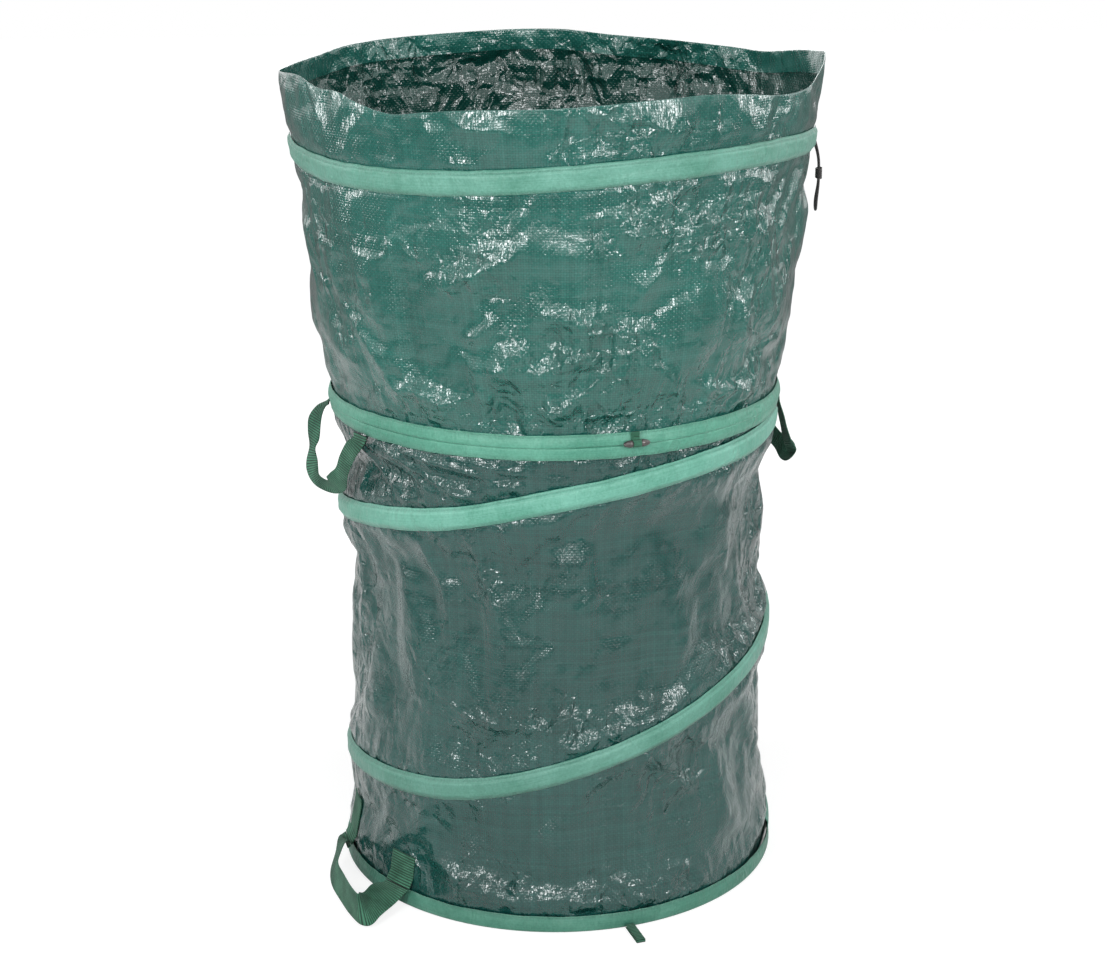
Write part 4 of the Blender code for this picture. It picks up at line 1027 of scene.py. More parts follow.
def make_cords():
    start, end = (
        spot(angle, cord_radius(angle), casing_height(angle)) for angle in (CORD_END_ANGLE, -CORD_END_ANGLE)
    )
    inward, back = -np.array(along(CORD_END_ANGLE)), np.array(along(-CORD_END_ANGLE))
    start, end = start + inward * GAP, end + back * GAP
    route = [start, start + inward * CORD_DIAMETER, *TAIL_ROUTE, end + back * CORD_DIAMETER, end]
    points = even_curve(np.array([np.array(point, float) for point in route]), TAIL_STEPS)
    curve = bpy.data.curves.new("cord_tail_braid", "CURVE")
    curve.dimensions = "3D"
    curve.bevel_depth = CORD_DIAMETER / 2
    curve.bevel_resolution = 4
    curve.use_fill_caps = True
    spline = curve.splines.new("POLY")
    spline.points.add(len(points) - 1)
    for target, point in zip(spline.points, points):
        target.co = (*point, 1.0)
    spline.use_smooth = True
    tail = add_object("cord_tail_braid", curve, CORD_BRAID, "black_cord")
    put_on(tail, "drawstring_tail", "cord_tail")

    turns = np.linspace(0.0, KNOT_TURNS * 2.0 * np.pi, 161)
    half_x = CORD_DIAMETER / 2 + KNOT_STAND_OFF
    half_y = (STRAND_SPACING + CORD_DIAMETER) / 2 + KNOT_STAND_OFF
    drop = (turns / turns[-1] - 0.5) * (KNOT_LONG - 2 * WINDING_RADIUS)
    winding = np.stack([KNOT_X + half_x * np.cos(turns), half_y * np.sin(turns), KNOT_HEIGHT - drop], axis=1)
    knot = cord_along("knot_winding", winding, WINDING_RADIUS, 10, "drawstring_knot", "cord_tail")

    angles = np.concatenate([[CORD_END_ANGLE], np.arange(5.0, 356.0, 2.5), [360.0 - CORD_END_ANGLE]])
    line = spot(angles, cord_radius(angles), casing_height(angles))
    cord_along("drawstring_braid", line, CORD_DIAMETER / 2, 12, "drawstring", "rim")


# Wall cloth and coil

# Collapsed, the wall lies between the mouths of the two rings' tapes
WALL_SQUASH = dict(
    axis=(0.0, 0.0, 1.0), anchor=(0.0, 0.0, BASE_SLEEVE_TALL),
    keep=(WAIST_SLEEVE_BOTTOM - COLLAPSE_TRAVEL - BASE_SLEEVE_TALL) / (WALL_TOP - BASE_SLEEVE_TALL),
)
# The radius that turns degrees into metres for chosen folds
FOLDS_RADIUS = 0.235
# How far a chosen fold's line wavers to its sides
FOLDS_WAVER = 0.0022
# How far creases stand out before the cloth simulation
WALL_START_CREASE = 0.0030
COLLAR_START_CREASE = 0.0032
# How far fine creases stand out everywhere, and how much more where the cloth is crumpled most
FINE_CREASE, CRUMPLED_CREASE = 0.0009, 0.0046
# Share of a chosen fold's depth that is laid on the settled cloth again
FOLDS_AGAIN = 0.8


def folds_on(azimuth, height, folds):
    """Chosen folds: each runs from one (azimuth, height) to another, with a width and a depth."""
    total = np.zeros(np.broadcast(azimuth, height).shape)
    arc = math.radians(1.0) * FOLDS_RADIUS
    for a0, h0, a1, h1, width, depth in folds:
        middle = (a0 + a1) / 2
        x = turned_from(azimuth, middle) * arc
        y = height - h0
        x0, dx, dy = (a0 - middle) * arc, (a1 - a0) * arc, h1 - h0
        length = math.hypot(dx, dy)
        run = ((x - x0) * dx + y * dy) / length**2
        off = ((x - x0) * dy - y * dx) / length
        off = off + FOLDS_WAVER * np.sin(7.0 * run + a0)
        window = eased(run / 0.5 + 0.4) * eased((1.0 - run) / 0.6 + 0.3)
        total = total + depth * np.exp(0.35 - np.sqrt((off / width) ** 2 + 0.12)) * window
    return total


# The wall's chosen folds, as folds_on takes them
WALL_FOLDS = (
    (142.0, 0.534, 104.0, 0.476, 0.0046, 0.0076),
    (146.0, 0.532, 118.0, 0.484, 0.0044, 0.0070),
    (132.0, 0.536, 98.0, 0.500, 0.0044, 0.0066),
    (149.0, 0.524, 132.0, 0.474, 0.0046, 0.0060),
    (112.0, 0.530, 92.0, 0.512, 0.0042, 0.0048),
    (70.0, 0.530, 84.0, 0.500, 0.0055, 0.0040),
    (72.0, 0.528, 62.0, 0.505, 0.0055, 0.0035),
    (52.0, 0.532, 60.0, 0.516, 0.0050, 0.0040),
    (112.0, 0.445, 104.0, 0.330, 0.0080, 0.0035),
    (126.0, 0.430, 120.0, 0.340, 0.0070, 0.0035),
    (112.0, 0.246, 96.0, 0.226, 0.0060, 0.0050),
    (100.0, 0.236, 82.0, 0.226, 0.0060, 0.0050),
    (92.0, 0.222, 78.0, 0.206, 0.0060, 0.0045),
    (60.0, 0.180, 50.0, 0.130, 0.0080, 0.0040),
    (124.0, 0.060, 100.0, 0.030, 0.0070, 0.0045),
    (96.0, 0.040, 80.0, 0.034, 0.0070, 0.0035),
    (288.0, 0.500, 262.0, 0.440, 0.0060, 0.0045),
    (240.0, 0.300, 256.0, 0.240, 0.0070, 0.0045),
    (310.0, 0.180, 296.0, 0.120, 0.0070, 0.0045),
)

# Where the wall is crumpled most: azimuth, height, reach in degrees, reach in height, strength
WALL_CRUMPLES = (
    (128.0, 0.505, 24.0, 0.035, 0.3),
    (98.0, 0.498, 14.0, 0.022, 0.4),
    (48.0, 0.522, 22.0, 0.020, 0.8),
    (100.0, 0.226, 22.0, 0.030, 0.9),
    (62.0, 0.150, 16.0, 0.035, 0.6),
    (112.0, 0.050, 24.0, 0.024, 0.6),
    (66.0, 0.036, 20.0, 0.020, 0.5),
    (166.0, 0.300, 16.0, 0.220, 0.8),
    (12.0, 0.300, 16.0, 0.220, 0.8),
    (108.0, 0.400, 8.0, 0.030, 0.5),
    (270.0, 0.480, 34.0, 0.040, 0.8),
    (240.0, 0.260, 26.0, 0.050, 0.7),
    (308.0, 0.160, 26.0, 0.050, 0.7),
)


def crumpled_at(azimuth, height, places):
    """How crumpled the cloth's gloss is, from 0 to 1."""
    total = 0.14 + 0.10 * noise(azimuth / 360.0 * 22, height * 16, 91, 22)
    for angle, level, wide, tall, strength in places:
        beside = turned_from(azimuth, angle) / wide
        total = total + strength * np.exp(-(beside**2) - ((height - level) / tall) ** 2)
    return np.clip(total, 0.06, 1.0)


def crumple_up(item, azimuth, height, crumple, cells, folds):
    """How far crumples and chosen folds push a fine sheet out, with how crumpled it is marked on it."""
    layer = item.data.attributes.new("crumple", "FLOAT", "POINT")
    layer.data.foreach_set("value", np.asarray(crumple, np.float32))
    small = crease_field(azimuth, height, *cells) * (FINE_CREASE + CRUMPLED_CREASE * crumple)
    return small + FOLDS_AGAIN * folds_on(azimuth, height, folds)


def cloth_sheet(name, points, uv, material):
    mesh = grid_mesh(name, points, uv, closed=True)
    return add_object(name, mesh, material, "woven_polyethylene")


def make_wall():
    columns, rows = 288, 104
    azimuth = whole_turn(columns)
    height = np.linspace(WALL_BOTTOM, WALL_TOP, rows)[:, None]
    rest = wall_radius(azimuth, height) + wall_folds(azimuth, height)
    nearest = wall_supports(azimuth, height)[0].min(axis=0)
    free = eased(nearest / 0.014) * (1.0 - patch_cover(azimuth, height))
    start = crease_field(azimuth, height, 5, 0.034, 0.052) * WALL_START_CREASE
    start = start + folds_on(azimuth, height, WALL_FOLDS)
    around_bag = np.linspace(0.0, 2.0 * np.pi * WALL_EDGE_RADIUS, columns + 1)
    uv = np.stack(np.meshgrid(around_bag, height[:, 0]), axis=-1)
    wall = cloth_sheet("wall_cloth", spot(azimuth, rest + start * free, height), uv, WALL_CLOTH)
    base = spot(azimuth, rest, height).reshape(-1, 3)
    held = (free < 0.02).reshape(-1)
    buckle(wall, held, base, frames=22, growth=0.022, bending=1.2, inward=0.0065, out=0.0045)
    refine(wall)
    fine = points_of(wall.data)
    azimuth, height = around(fine), fine[:, 2]
    nearest = wall_supports(azimuth, height)[0].min(axis=0)
    free = eased(nearest / 0.012) * (1.0 - patch_cover(azimuth, height))
    near = 0.30 * np.exp(-nearest / 0.022)
    crumple = np.clip(crumpled_at(azimuth, height, WALL_CRUMPLES) + near, 0.0, 1.0)
    out = crumple_up(wall, azimuth, height, crumple, (61, 0.026, 0.036), WALL_FOLDS)
    set_points(wall, push_out(fine, out * free))
    return put_on(wall, "wall_panel", "base", collapses=True)


def tape_on(name, points, uv, material, node, body, collapses=False, closed=False):
    """A tape's mesh from the grid of its middle surface."""
    tape = add_object(name, grid_mesh(name, points, uv, closed), material, "green_tape")
    thicken(tape, TAPE)
    return put_on(tape, node, body, collapses)


def make_coil():
    angles = np.arange(COIL_TOP_ANGLE - 9.0, COIL_BOTTOM_ANGLE + 9.1, 3.0)
    line = spot(angles, coil_radius(angles), coil_height(angles))
    mesh = tube_mesh("coil_wire_drawn", line, WIRE_DIAMETER / 2)
    wire = add_object("coil_wire_drawn", mesh, STEEL, "spring_steel")
    put_on(wire, "coil_wire", "base", collapses=True)

    angle = np.linspace(COIL_SLEEVE_START, COIL_SLEEVE_END, 601)[None, :]
    share = np.linspace(-1.0, 1.0, 15)[:, None]
    middle = coil_height(angle)
    top = np.minimum(middle + COIL_SLEEVE_TALL / 2, WAIST_SLEEVE_BOTTOM - GAP)
    bottom = np.maximum(middle - COIL_SLEEVE_TALL / 2, BASE_SLEEVE_TALL + GAP)
    height = middle + np.where(share > 0, share * (top - middle), share * (middle - bottom))
    seated = wall_radius(angle % 360.0, height) + CLOTH / 2 + WIRE_PLAY + TAPE / 2
    over = coil_radius(angle) + WIRE_DIAMETER / 2 + GAP + TAPE / 2
    arch = 1.0 - eased((np.abs(share) - 0.50) / 0.46)
    run = angle / 720.0
    pucker = noise(run * 300, share * 1.2, 31, 300) * 0.00035 * np.abs(share) ** 1.5
    slack = np.abs(noise(run * 84 + share * 0.7, share * 0.8 + 4, 32, 84)) * 0.0011 * (1.0 - share**2)
    radius = seated + (over - seated) * arch + np.maximum(pucker, -0.0002) + slack
    wobble = noise(run * 140, 0.5 + 0 * share, 33, 140) * 0.0005 * share**3
    points = spot(angle, radius, height + np.where(np.abs(share) > 0.5, wobble, 0.0))
    return tape_on("coil_tape", points, band_uv(points), BAND_TAPE, "coil_sleeve", "base", collapses=True)


# Ring tapes

TAPE_BEND = 0.0022


def near_coil(azimuth, height):
    """1 where the coil's wire runs close by at this height, as it leaves a ring."""
    near = np.zeros(np.broadcast(azimuth, height).shape)
    for turn in range(4):
        angle = azimuth % 360.0 - 360.0 + 360.0 * turn
        painted_shade_inside = (angle > COIL_TOP_ANGLE - 12.0) & (angle < COIL_BOTTOM_ANGLE + 12.0)
        near = np.maximum(near, painted_shade_inside * np.exp(-(((height - coil_height(angle)) / 0.007) ** 2)))
    return np.minimum(near, 1.0)


def tape_profile(tall):
    """How far in and how far from its fold each place across a ring's tape lies, from its outer edge."""
    bend, inner = TAPE_BEND, OUTER_LEG_RADIUS - INNER_LEG_RADIUS
    run = [(0.0, bend + (tall - bend) * share) for share in np.linspace(1.0, 0.0, 7)]
    for turn in np.linspace(0.0, math.pi / 2, 5)[1:]:
        run.append((-bend * (1 - math.cos(turn)), bend * (1 - math.sin(turn))))
    for turn in np.linspace(math.pi / 2, 0.0, 5):
        run.append((-inner + bend * (1 - math.cos(turn)), bend * (1 - math.sin(turn))))
    run += [(-inner, bend + (tall - bend) * share) for share in np.linspace(0.0, 1.0, 5)[1:]]
    inset, up = np.array(run).T
    return inset[:, None], up[:, None]


def ring_tape(name, node, body, fold, mouth, seed, lean_to, droop=None):
    """Tape folded round a ring, sewn to the cloth inside it along its mouth."""
    way = 1.0 if mouth > fold else -1.0
    tall = abs(mouth - fold)
    inset, up = tape_profile(tall)
    azimuth = whole_turn(360)
    height = fold + way * up
    outer = inset > (INNER_LEG_RADIUS - OUTER_LEG_RADIUS) / 2
    lean = eased((up - 0.35 * tall) / (0.65 * tall)) * lean_to * outer
    lean = lean * (1.0 - 0.9 * near_coil(azimuth, height))
    share = azimuth / 360.0
    edge = eased(up / tall)
    ripple = noise(share * 150, up * 40, seed, 150) * 0.00035 * edge
    ripple = ripple + noise(share * 34, up * 30, seed + 1, 34) * 0.0006 * edge * outer
    lift = noise(share * 90, 0 * up + 0.5, seed + 2, 90) * 0.0005 * edge * way
    radius = OUTER_LEG_RADIUS + inset - lean + np.maximum(ripple, -0.0004)
    sag = 0.0
    if droop is not None:
        sag = droop(azimuth) * outer
        radius = radius + 0.0016 * eased(1.0 - up / tall) * eased(-sag / 0.002) * outer
    points = spot(azimuth, radius, height + lift + sag)
    tape_on(name, points, band_uv(points, closed=True), RING_TAPE, node, body, closed=True)


def binding_droop(azimuth):
    """The collar's binding sags over the waist ring's tape, most at the two sides."""
    droop = 0.0028 * np.exp(-((turned_from(azimuth, 10.0) / 26.0) ** 2))
    droop = droop + 0.0022 * np.exp(-((turned_from(azimuth, 172.0) / 18.0) ** 2))
    return -droop - 0.0009 * (1 + noise(azimuth / 360.0 * 17, 0 * azimuth + 0.3, 47, 17))


def make_ring_tapes():
    half = TAPE / 2
    ring_tape("base_ring_tape", "base_ring_sleeve", "base", half, BASE_SLEEVE_TALL, 41, 0.0028)
    ring_tape(
        "waist_ring_tape", "waist_ring_sleeve", "waist",
        WAIST_HEIGHT - half, WAIST_SLEEVE_BOTTOM, 43, 0.0018,
    )
    ring_tape(
        "collar_binding_tape", "collar_binding", "waist",
        BINDING_BOTTOM + half, BINDING_TOP, 45, 0.0016, binding_droop,
    )


def make_base_panel():
    radius = INNER_LEG_RADIUS - TAPE / 2 - GAP
    rings = np.linspace(0.02, 1.0, 30)[:, None]
    flat = spot(whole_turn(120), radius * rings, 0.0)
    x, y = flat[..., 0], flat[..., 1]
    waves = noise(x * 14 + 20, y * 14 + 20, 51, 999) * 0.0012
    waves = waves + facets(x * 36 + 40, y * 36 + 40, 52, 999) * 0.0006
    flat[..., 2] = CLOTH + (waves + 0.0015) * eased((1.0 - rings) / 0.12)
    whole = np.concatenate([flat, flat[:, :1]], axis=1)
    panel = cloth_sheet("base_cloth", flat[::-1], whole[::-1, :, :2], WALL_CLOTH)
    shape = bmesh.new()
    shape.from_mesh(panel.data)
    inner = [edge for edge in shape.edges if edge.is_boundary and edge.verts[0].co.xy.length < radius / 2]
    bmesh.ops.contextual_create(shape, geom=inner)
    bmesh.ops.recalc_face_normals(shape, faces=shape.faces[:])
    shape.to_mesh(panel.data)
    shape.free()
    put_on(panel, "base_panel", "base")


# Collar

# As for the wall
COLLAR_FOLDS = (
    (96.0, 0.764, 116.0, 0.702, 0.0140, 0.0090),
    (94.0, 0.700, 78.0, 0.655, 0.0120, 0.0075),
    (96.0, 0.648, 105.0, 0.620, 0.0090, 0.0065),
    (80.0, 0.648, 92.0, 0.620, 0.0110, 0.0075),
    (84.0, 0.606, 92.0, 0.572, 0.0090, 0.0065),
    (102.0, 0.680, 110.0, 0.655, 0.0060, 0.0045),
    (110.0, 0.640, 104.0, 0.588, 0.0070, 0.0050),
    (128.0, 0.600, 112.0, 0.588, 0.0070, 0.0050),
    (82.0, 0.808, 64.0, 0.796, 0.0080, 0.0055),
    (75.0, 0.770, 64.0, 0.758, 0.0110, 0.0070),
    (66.0, 0.740, 72.0, 0.690, 0.0080, 0.0045),
    (70.0, 0.640, 58.0, 0.585, 0.0080, 0.0050),
    (55.0, 0.600, 38.0, 0.580, 0.0070, 0.0045),
    (140.0, 0.660, 128.0, 0.590, 0.0090, 0.0050),
    (38.0, 0.760, 30.0, 0.640, 0.0100, 0.0050),
    (44.0, 0.700, 40.0, 0.600, 0.0080, 0.0045),
    (150.0, 0.780, 146.0, 0.660, 0.0100, 0.0050),
    (78.0, 0.885, 62.0, 0.862, 0.0070, 0.0040),
    (112.0, 0.880, 98.0, 0.866, 0.0070, 0.0035),
    (280.0, 0.760, 262.0, 0.700, 0.0100, 0.0050),
    (236.0, 0.700, 250.0, 0.620, 0.0090, 0.0050),
    (262.0, 0.885, 246.0, 0.862, 0.0080, 0.0040),
    (290.0, 0.880, 306.0, 0.858, 0.0080, 0.0040),
)

COLLAR_CRUMPLES = (
    (110.0, 0.745, 12.0, 0.035, 0.7),
    (84.0, 0.650, 16.0, 0.045, 0.8),
    (60.0, 0.780, 18.0, 0.040, 0.8),
    (72.0, 0.860, 20.0, 0.030, 0.7),
    (86.0, 0.575, 34.0, 0.026, 0.9),
    (124.0, 0.585, 12.0, 0.030, 0.6),
    (36.0, 0.640, 14.0, 0.120, 0.7),
    (150.0, 0.700, 12.0, 0.100, 0.5),
    (262.0, 0.860, 40.0, 0.040, 0.8),
    (300.0, 0.870, 20.0, 0.040, 0.7),
    (225.0, 0.870, 20.0, 0.040, 0.7),
    (270.0, 0.640, 40.0, 0.060, 0.7),
    (230.0, 0.760, 20.0, 0.060, 0.6),
)

# The hem's rows: how far in, how far down from the top edge, and how far on in the UVs
HEM_ROWS = (
    (0.0003, -0.00025, 0.0003), (0.0009, -0.0001, 0.001), (0.0013, 0.0012, 0.003),
    (0.0015, 0.006, 0.007), (0.0016, 0.015, 0.016), (0.0017, HEM_TALL, 0.025),
)
# Mean radius of the collar's UVs
COLLAR_UV_RADIUS = 0.268


def collar_free(azimuth, height):
    """0 where the collar is sewn down: at its binding, under the casing and at its rim."""
    from_casing = np.abs(height - casing_height(azimuth)) - CASING_TALL / 2 - 0.0015
    from_rim = (rim_height(azimuth) - height) / 0.02
    foot = (height - BINDING_TOP) / 0.012
    return eased(from_casing / 0.014) * (0.25 + 0.75 * eased(from_rim)) * eased(foot)


def under_casing(points):
    """Holds the cloth in where the casing comes down over it as the collar folds."""
    azimuth, height = around(points), points[:, 2]
    met = BINDING_TOP + (height - BINDING_TOP) * COLLAR_FOLD_KEEP + COLLAR_FOLD_TRAVEL
    clear = np.maximum(casing_height(azimuth) - CASING_TALL / 2 - met, 0.0)
    most = collar_radius(azimuth, met) + GAP / 2 + 1.2 * clear
    return push_out(points, np.minimum(most - radius_of(points), 0.0))


def pleats(azimuth, height):
    """The collar's fullness, gathered into its binding."""
    above = height - BINDING_TOP
    share = azimuth / 360.0
    depth = 0.0024 * np.exp(-np.maximum(above, 0.0) / 0.016) * eased(above / 0.005)
    narrow = noise(share * 130 + 0.4 * noise(share * 31, above * 30, 24, 31), above * 22, 23, 130)
    broad = noise(share * 46, above * 16, 25, 46) * np.exp(-np.maximum(above - 0.02, 0.0) / 0.03)
    return depth * narrow + 0.0026 * broad * eased(above / 0.015)


def hem_rows(grid, azimuth):
    """The rows of the hem, turned in and down from the collar's top edge."""
    radius, level = radius_of(grid), grid[..., 2]
    rows = []
    for inset, drop, _ in HEM_ROWS:
        now = level[-1] - drop
        out = radius[-1]
        if drop > 0.001:
            out = np.array([np.interp(now[c], level[:, c], radius[:, c]) for c in range(len(now))])
        rows.append(push_out(spot(azimuth[0], out, now), -inset))
    return np.array(rows)


def make_collar():
    columns, split = 300, 59
    azimuth = whole_turn(columns)
    low_rows = np.linspace(COLLAR_FOOT, COLLAR_SPLIT_HEIGHT, split + 1)[:, None] + 0 * azimuth
    top = rim_height(azimuth) - CLOTH / 2
    steps = np.linspace(0.0, 1.0, 20)[1:, None]
    height = np.concatenate([low_rows, COLLAR_SPLIT_HEIGHT + (top - COLLAR_SPLIT_HEIGHT) * steps], axis=0)
    rest = collar_radius(azimuth, height) + collar_folds(azimuth, height)
    free = collar_free(azimuth, height)
    start = crease_field(azimuth, height, 15, 0.042, 0.052) * COLLAR_START_CREASE
    start = start + folds_on(azimuth, height, COLLAR_FOLDS)
    gathered = pleats(azimuth, height) * (1.0 - eased((height - BINDING_TOP - 0.06) / 0.06))
    around_bag = np.linspace(0.0, 2.0 * np.pi * COLLAR_UV_RADIUS, columns + 1)
    levels = np.concatenate([height, height[:, :1]], axis=1)
    uv = np.stack([np.broadcast_to(around_bag, levels.shape), levels], axis=-1)
    points = spot(azimuth, rest + start * free + gathered, height)
    collar = cloth_sheet("collar_cloth", points, uv, COLLAR_CLOTH)
    held = ((free < 0.03) | (height < BINDING_TOP + 0.006) | (height > top - 0.001)).reshape(-1)
    base = spot(azimuth, rest + gathered, height).reshape(-1, 3)
    buckle(collar, held, base, frames=20, growth=0.014, bending=1.5, inward=0.0065, out=0.0065)
    grid = points_of(collar.data).reshape(len(height), columns, 3)
    bpy.data.objects.remove(collar, do_unlink=True)

    hem_uv = np.repeat(uv[-1:], len(HEM_ROWS), axis=0)
    hem_uv[..., 1] += np.array(HEM_ROWS)[:, 2:]
    upper_grid = np.concatenate([grid[split:], hem_rows(grid, azimuth)], axis=0)
    upper_uv = np.concatenate([uv[split:], hem_uv], axis=0)
    pieces = []
    for name, node, body, part_grid, part_uv in (
        ("collar_cloth_lower", "collar_lower", "waist", grid[: split + 1], uv[: split + 1]),
        ("collar_cloth_upper", "collar_upper", "rim", upper_grid, upper_uv),
    ):
        piece = cloth_sheet(name, part_grid, part_uv, COLLAR_CLOTH)
        refine(piece)
        fine = points_of(piece.data)
        place, level = around(fine), fine[:, 2]
        crumple = crumpled_at(place, level, COLLAR_CRUMPLES)
        out = crumple_up(piece, place, level, crumple, (71, 0.028, 0.034), COLLAR_FOLDS)
        fine = push_out(fine, out * collar_free(place, level))
        set_points(piece, under_casing(fine) if node == "collar_lower" else fine)
        pieces.append(put_on(piece, node, body))
    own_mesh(pieces[0])
    return pieces


def make_casings():
    made = []
    floor = CLOTH / 2 + GAP + TAPE / 2
    crown = floor + CORD_DIAMETER + GAP
    for name, node, start, seed in (
        ("casing_tape_front", "casing_front", 0.0, 81), ("casing_tape_back", "casing_back", 180.0, 84),
    ):
        azimuth = np.linspace(start + CASING_END_ANGLE, start + 180.0 - CASING_END_ANGLE, 301)[None, :]
        share = np.linspace(-1.0, 1.0, 13)[:, None]
        height = casing_height(azimuth) + CASING_TALL / 2 * share
        arch = 1.0 - eased((np.abs(share) - 0.55) / 0.41)
        run = azimuth / 360.0
        pucker = noise(run * 170, share * 1.4 + 3, seed, 170) * 0.0004 * np.abs(share)
        loose = noise(run * 60, share * 1.1 + 7, seed + 1, 60) * 0.0011 * (1.0 - share**2)
        stand = floor + (crown - floor) * arch + np.maximum(pucker, -0.0001) + np.maximum(loose, -0.0002)
        wobble = noise(run * 80, 0.5 + 0 * share, seed + 2, 80) * 0.0007 * share
        points = spot(azimuth, collar_radius(azimuth, height) + stand, height + wobble)
        made.append(tape_on(name, points, band_uv(points), CASING_TAPE, node, "rim"))
    return made


# Handles, patches, toggle and loops

def handle_stations(angles, shares, stand_off, height_of):
    middle = sum(angles) / 2
    spread = math.radians(angles[1] - angles[0]) / 2
    half_chord, seat = SEAT_RADIUS * math.sin(spread), SEAT_RADIUS * math.cos(spread)
    stations = []
    for index, (t, o, drop, across_t, across_o, across_z) in enumerate(shares):
        place = along(middle) * half_chord * t + outward(middle) * (seat + stand_off * o)
        place.z = height_of(drop)
        across = along(middle) * across_t + outward(middle) * across_o
        across.z = across_z
        if index <= 1 or index >= len(shares) - 2:
            end = angles[0] if index <= 1 else angles[1]
            across = along(end) * (1.0 if across.dot(along(end)) > 0 else -1.0)
        stations.append((place, across.normalized()))
    return stations


def strap_on(name, stations, width, thickness, steps, material, slot, node, body):
    mesh = strap_mesh(name, stations, width, thickness, steps)
    return put_on(add_object(name, mesh, material, slot), node, body)


def make_handles():
    top, webbing = WAIST_SLEEVE_BOTTOM - GAP, (WEBBING_CLOTH, "green_webbing")
    for name, node, body, angles, shares in (
        ("handle_webbing_left", "handle_left", "left_handle", LEFT_HANDLE_ANGLES, LEFT_HANDLE),
        ("handle_webbing_right", "handle_right", "right_handle", RIGHT_HANDLE_ANGLES, RIGHT_HANDLE),
    ):
        stations = handle_stations(angles, shares, HANDLE_STAND_OFF, lambda drop: top - HANDLE_DROP * drop)
        strap_on(name, stations, HANDLE_WEBBING_WIDE, WEBBING, 110, *webbing, node, body)
    half = BASE_WEBBING_WIDE / 2
    stations = handle_stations(BASE_HANDLE_ANGLES, BASE_HANDLE, BASE_HANDLE_REACH, lambda share: half * share)
    strap_on(
        "base_handle_webbing", stations, BASE_WEBBING_WIDE, WEBBING, 120, *webbing,
        "base_handle", "bottom_handle",
    )
    share = np.linspace(0.0, 1.0, 21)
    spread = math.degrees(BASE_WEBBING_WIDE / SEAT_RADIUS)
    bottom = BASE_SEAT_HEIGHT + WEBBING
    for (angle, patch_top), side in zip(PATCH_PLACES, ("front", "rear")):
        azimuth = angle + spread * (share[None, :] - 0.5)
        height = bottom + (patch_top - bottom) * share[:, None]
        seated = wall_radius(azimuth, height) + CLOTH / 2 + GAP + WEBBING / 2
        flare = np.maximum(1.0 - (height - bottom) / PATCH_FLARE_TALL, 0.0)
        points = spot(azimuth, seated + (SEAT_RADIUS - seated) * flare, height)
        name = "patch_webbing_" + side
        patch = add_object(name, grid_mesh(name, points, band_uv(points)[..., ::-1]), *webbing)
        thicken(patch, WEBBING)
        put_on(patch, "base_handle_" + side + "_patch", "base", collapses=True)


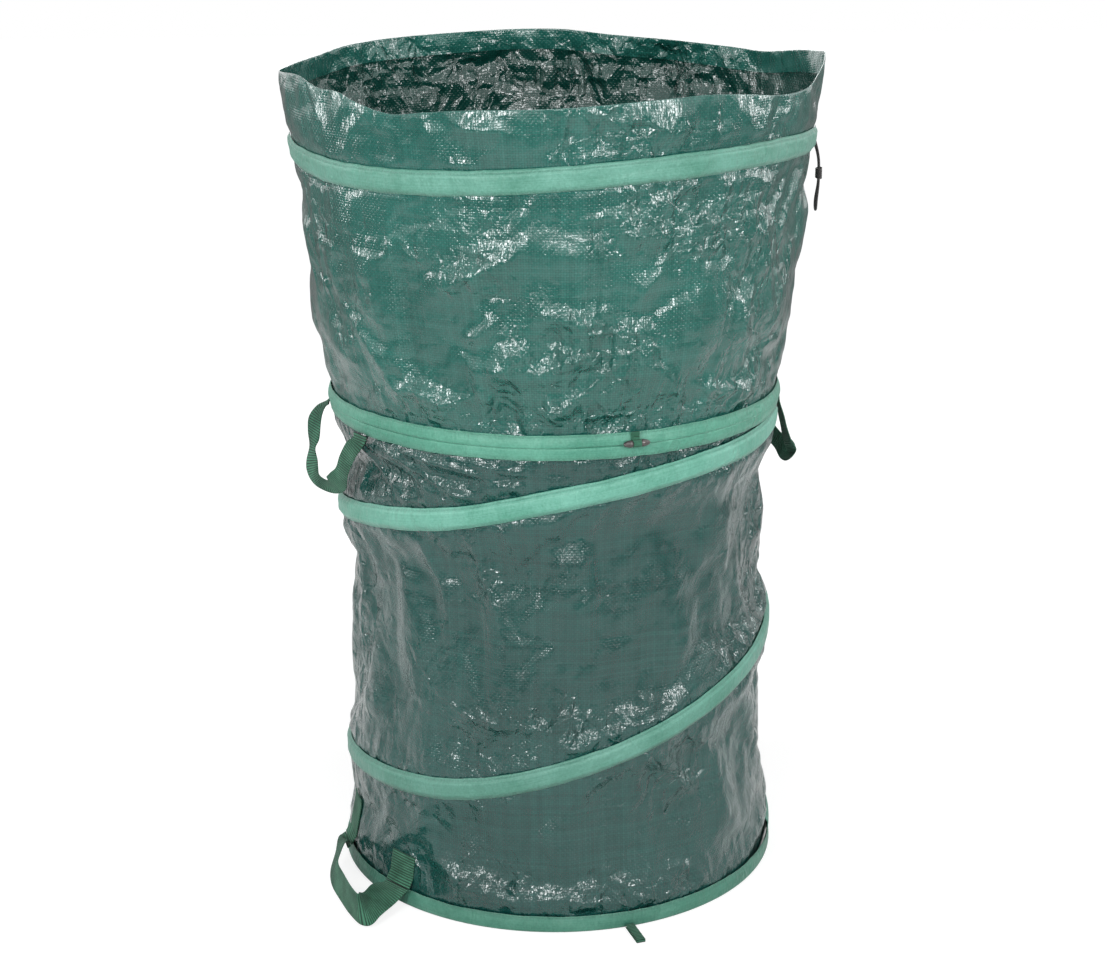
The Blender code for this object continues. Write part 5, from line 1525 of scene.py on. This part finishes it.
def make_toggle():
    half, radius = TOGGLE_LONG / 2, TOGGLE_DIAMETER / 2
    neck = radius * TOGGLE_WAIST_SHARE
    profile = []
    for share in np.sin(np.linspace(-math.pi / 2, math.pi / 2, 41)):
        body = radius * math.sqrt(max(1.0 - share * share, 0.0)) ** 0.85
        neck_edge = (abs(share) * half - TOGGLE_LOOP_WIDE / 2 - GAP) / 0.0012
        profile.append((min(body, neck + (body - neck) * float(eased(neck_edge))), share * half))
    side, run, up = outward(TOGGLE_ANGLE), along(TOGGLE_ANGLE), Vector((0.0, 0.0, 1.0))
    middle = side * (RING_RADIUS + GAP + RIBBON + GAP + radius)
    middle.z = BINDING_TOP - TOGGLE_DROP
    turns = np.linspace(0.0, 2.0 * np.pi, 32, endpoint=False)
    spokes = [side * math.cos(turn) + up * math.sin(turn) for turn in turns]
    grid = np.array([
        [middle + run * at + spoke * max(out, 0.0001) for spoke in spokes] for out, at in profile
    ])
    girth = np.linspace(0.0, 0.027, len(turns) + 1)
    uv = np.stack(np.meshgrid([at for _, at in profile], girth, indexing="ij"), axis=-1)
    mesh = capped(grid_mesh("toggle_turned", grid, uv, closed=True))
    toggle = add_object("toggle_turned", mesh, TOGGLE_PLASTIC, "bronze_toggle")
    put_on(toggle, "toggle", "toggle_hanger")

    hinge = side * (RING_RADIUS + GAP + RIBBON / 2)
    hinge.z = BINDING_TOP - GAP
    reach = RIBBON / 2 + neck + GAP
    lowered = Vector((hinge.x, hinge.y, middle.z + reach))
    stations = [hinge, hinge.lerp(lowered, 0.5)]
    for index in range(9):
        turn = math.radians(140.0 + 290.0 * index / 8)
        stations.append(middle + side * reach * math.cos(turn) + up * reach * math.sin(turn))
    stations += [lowered + side * (RIBBON + GAP) + up * GAP, hinge + side * (RIBBON + GAP)]
    pairs = [(point, run) for point in stations]
    strap_on(
        "toggle_ribbon", pairs, TOGGLE_LOOP_WIDE, RIBBON, 60, RIBBON_CLOTH, "green_tape",
        "toggle_loop", "toggle_hanger",
    )


def make_closing_loop():
    side, up = outward(CLOSING_ANGLE), Vector((0.0, 0.0, 1.0))
    start = side * (RING_RADIUS + 2 * GAP)
    start.z = GAP + RIBBON / 2
    rise = RIBBON + CLOSING_OPEN
    turn_radius = rise / 2
    far = start + side * (CLOSING_REACH - turn_radius)
    stations = [start, start.lerp(far, 0.5), far]
    for index in range(1, 6):
        turn = math.radians(-90.0 + 30.0 * index)
        stations.append(far + side * turn_radius * math.cos(turn) + up * turn_radius * (1.0 + math.sin(turn)))
    stations += [far + up * rise, start.lerp(far, 0.5) + up * rise, start + up * rise]
    pairs = [(point, along(CLOSING_ANGLE)) for point in stations]
    strap_on(
        "closing_ribbon_loop", pairs, CLOSING_WIDE, RIBBON, 60, WEBBING_CLOTH, "green_webbing",
        "closing_loop", "closing_ribbon",
    )


def finish_metal():
    for node in ("base_ring_wire", "waist_ring_wire", "upper_ferrule", "lower_ferrule"):
        for material_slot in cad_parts[node].material_slots:
            material_slot.material = STEEL


bpy.context.scene.view_settings.view_transform = "Standard"
make_camera()
make_cords()
make_studio()
wall = make_wall()
coil_tape = make_coil()
make_ring_tapes()
make_base_panel()
collar_lower, collar_upper = make_collar()
casings = make_casings()
make_handles()
make_toggle()
make_closing_loop()
finish_metal()
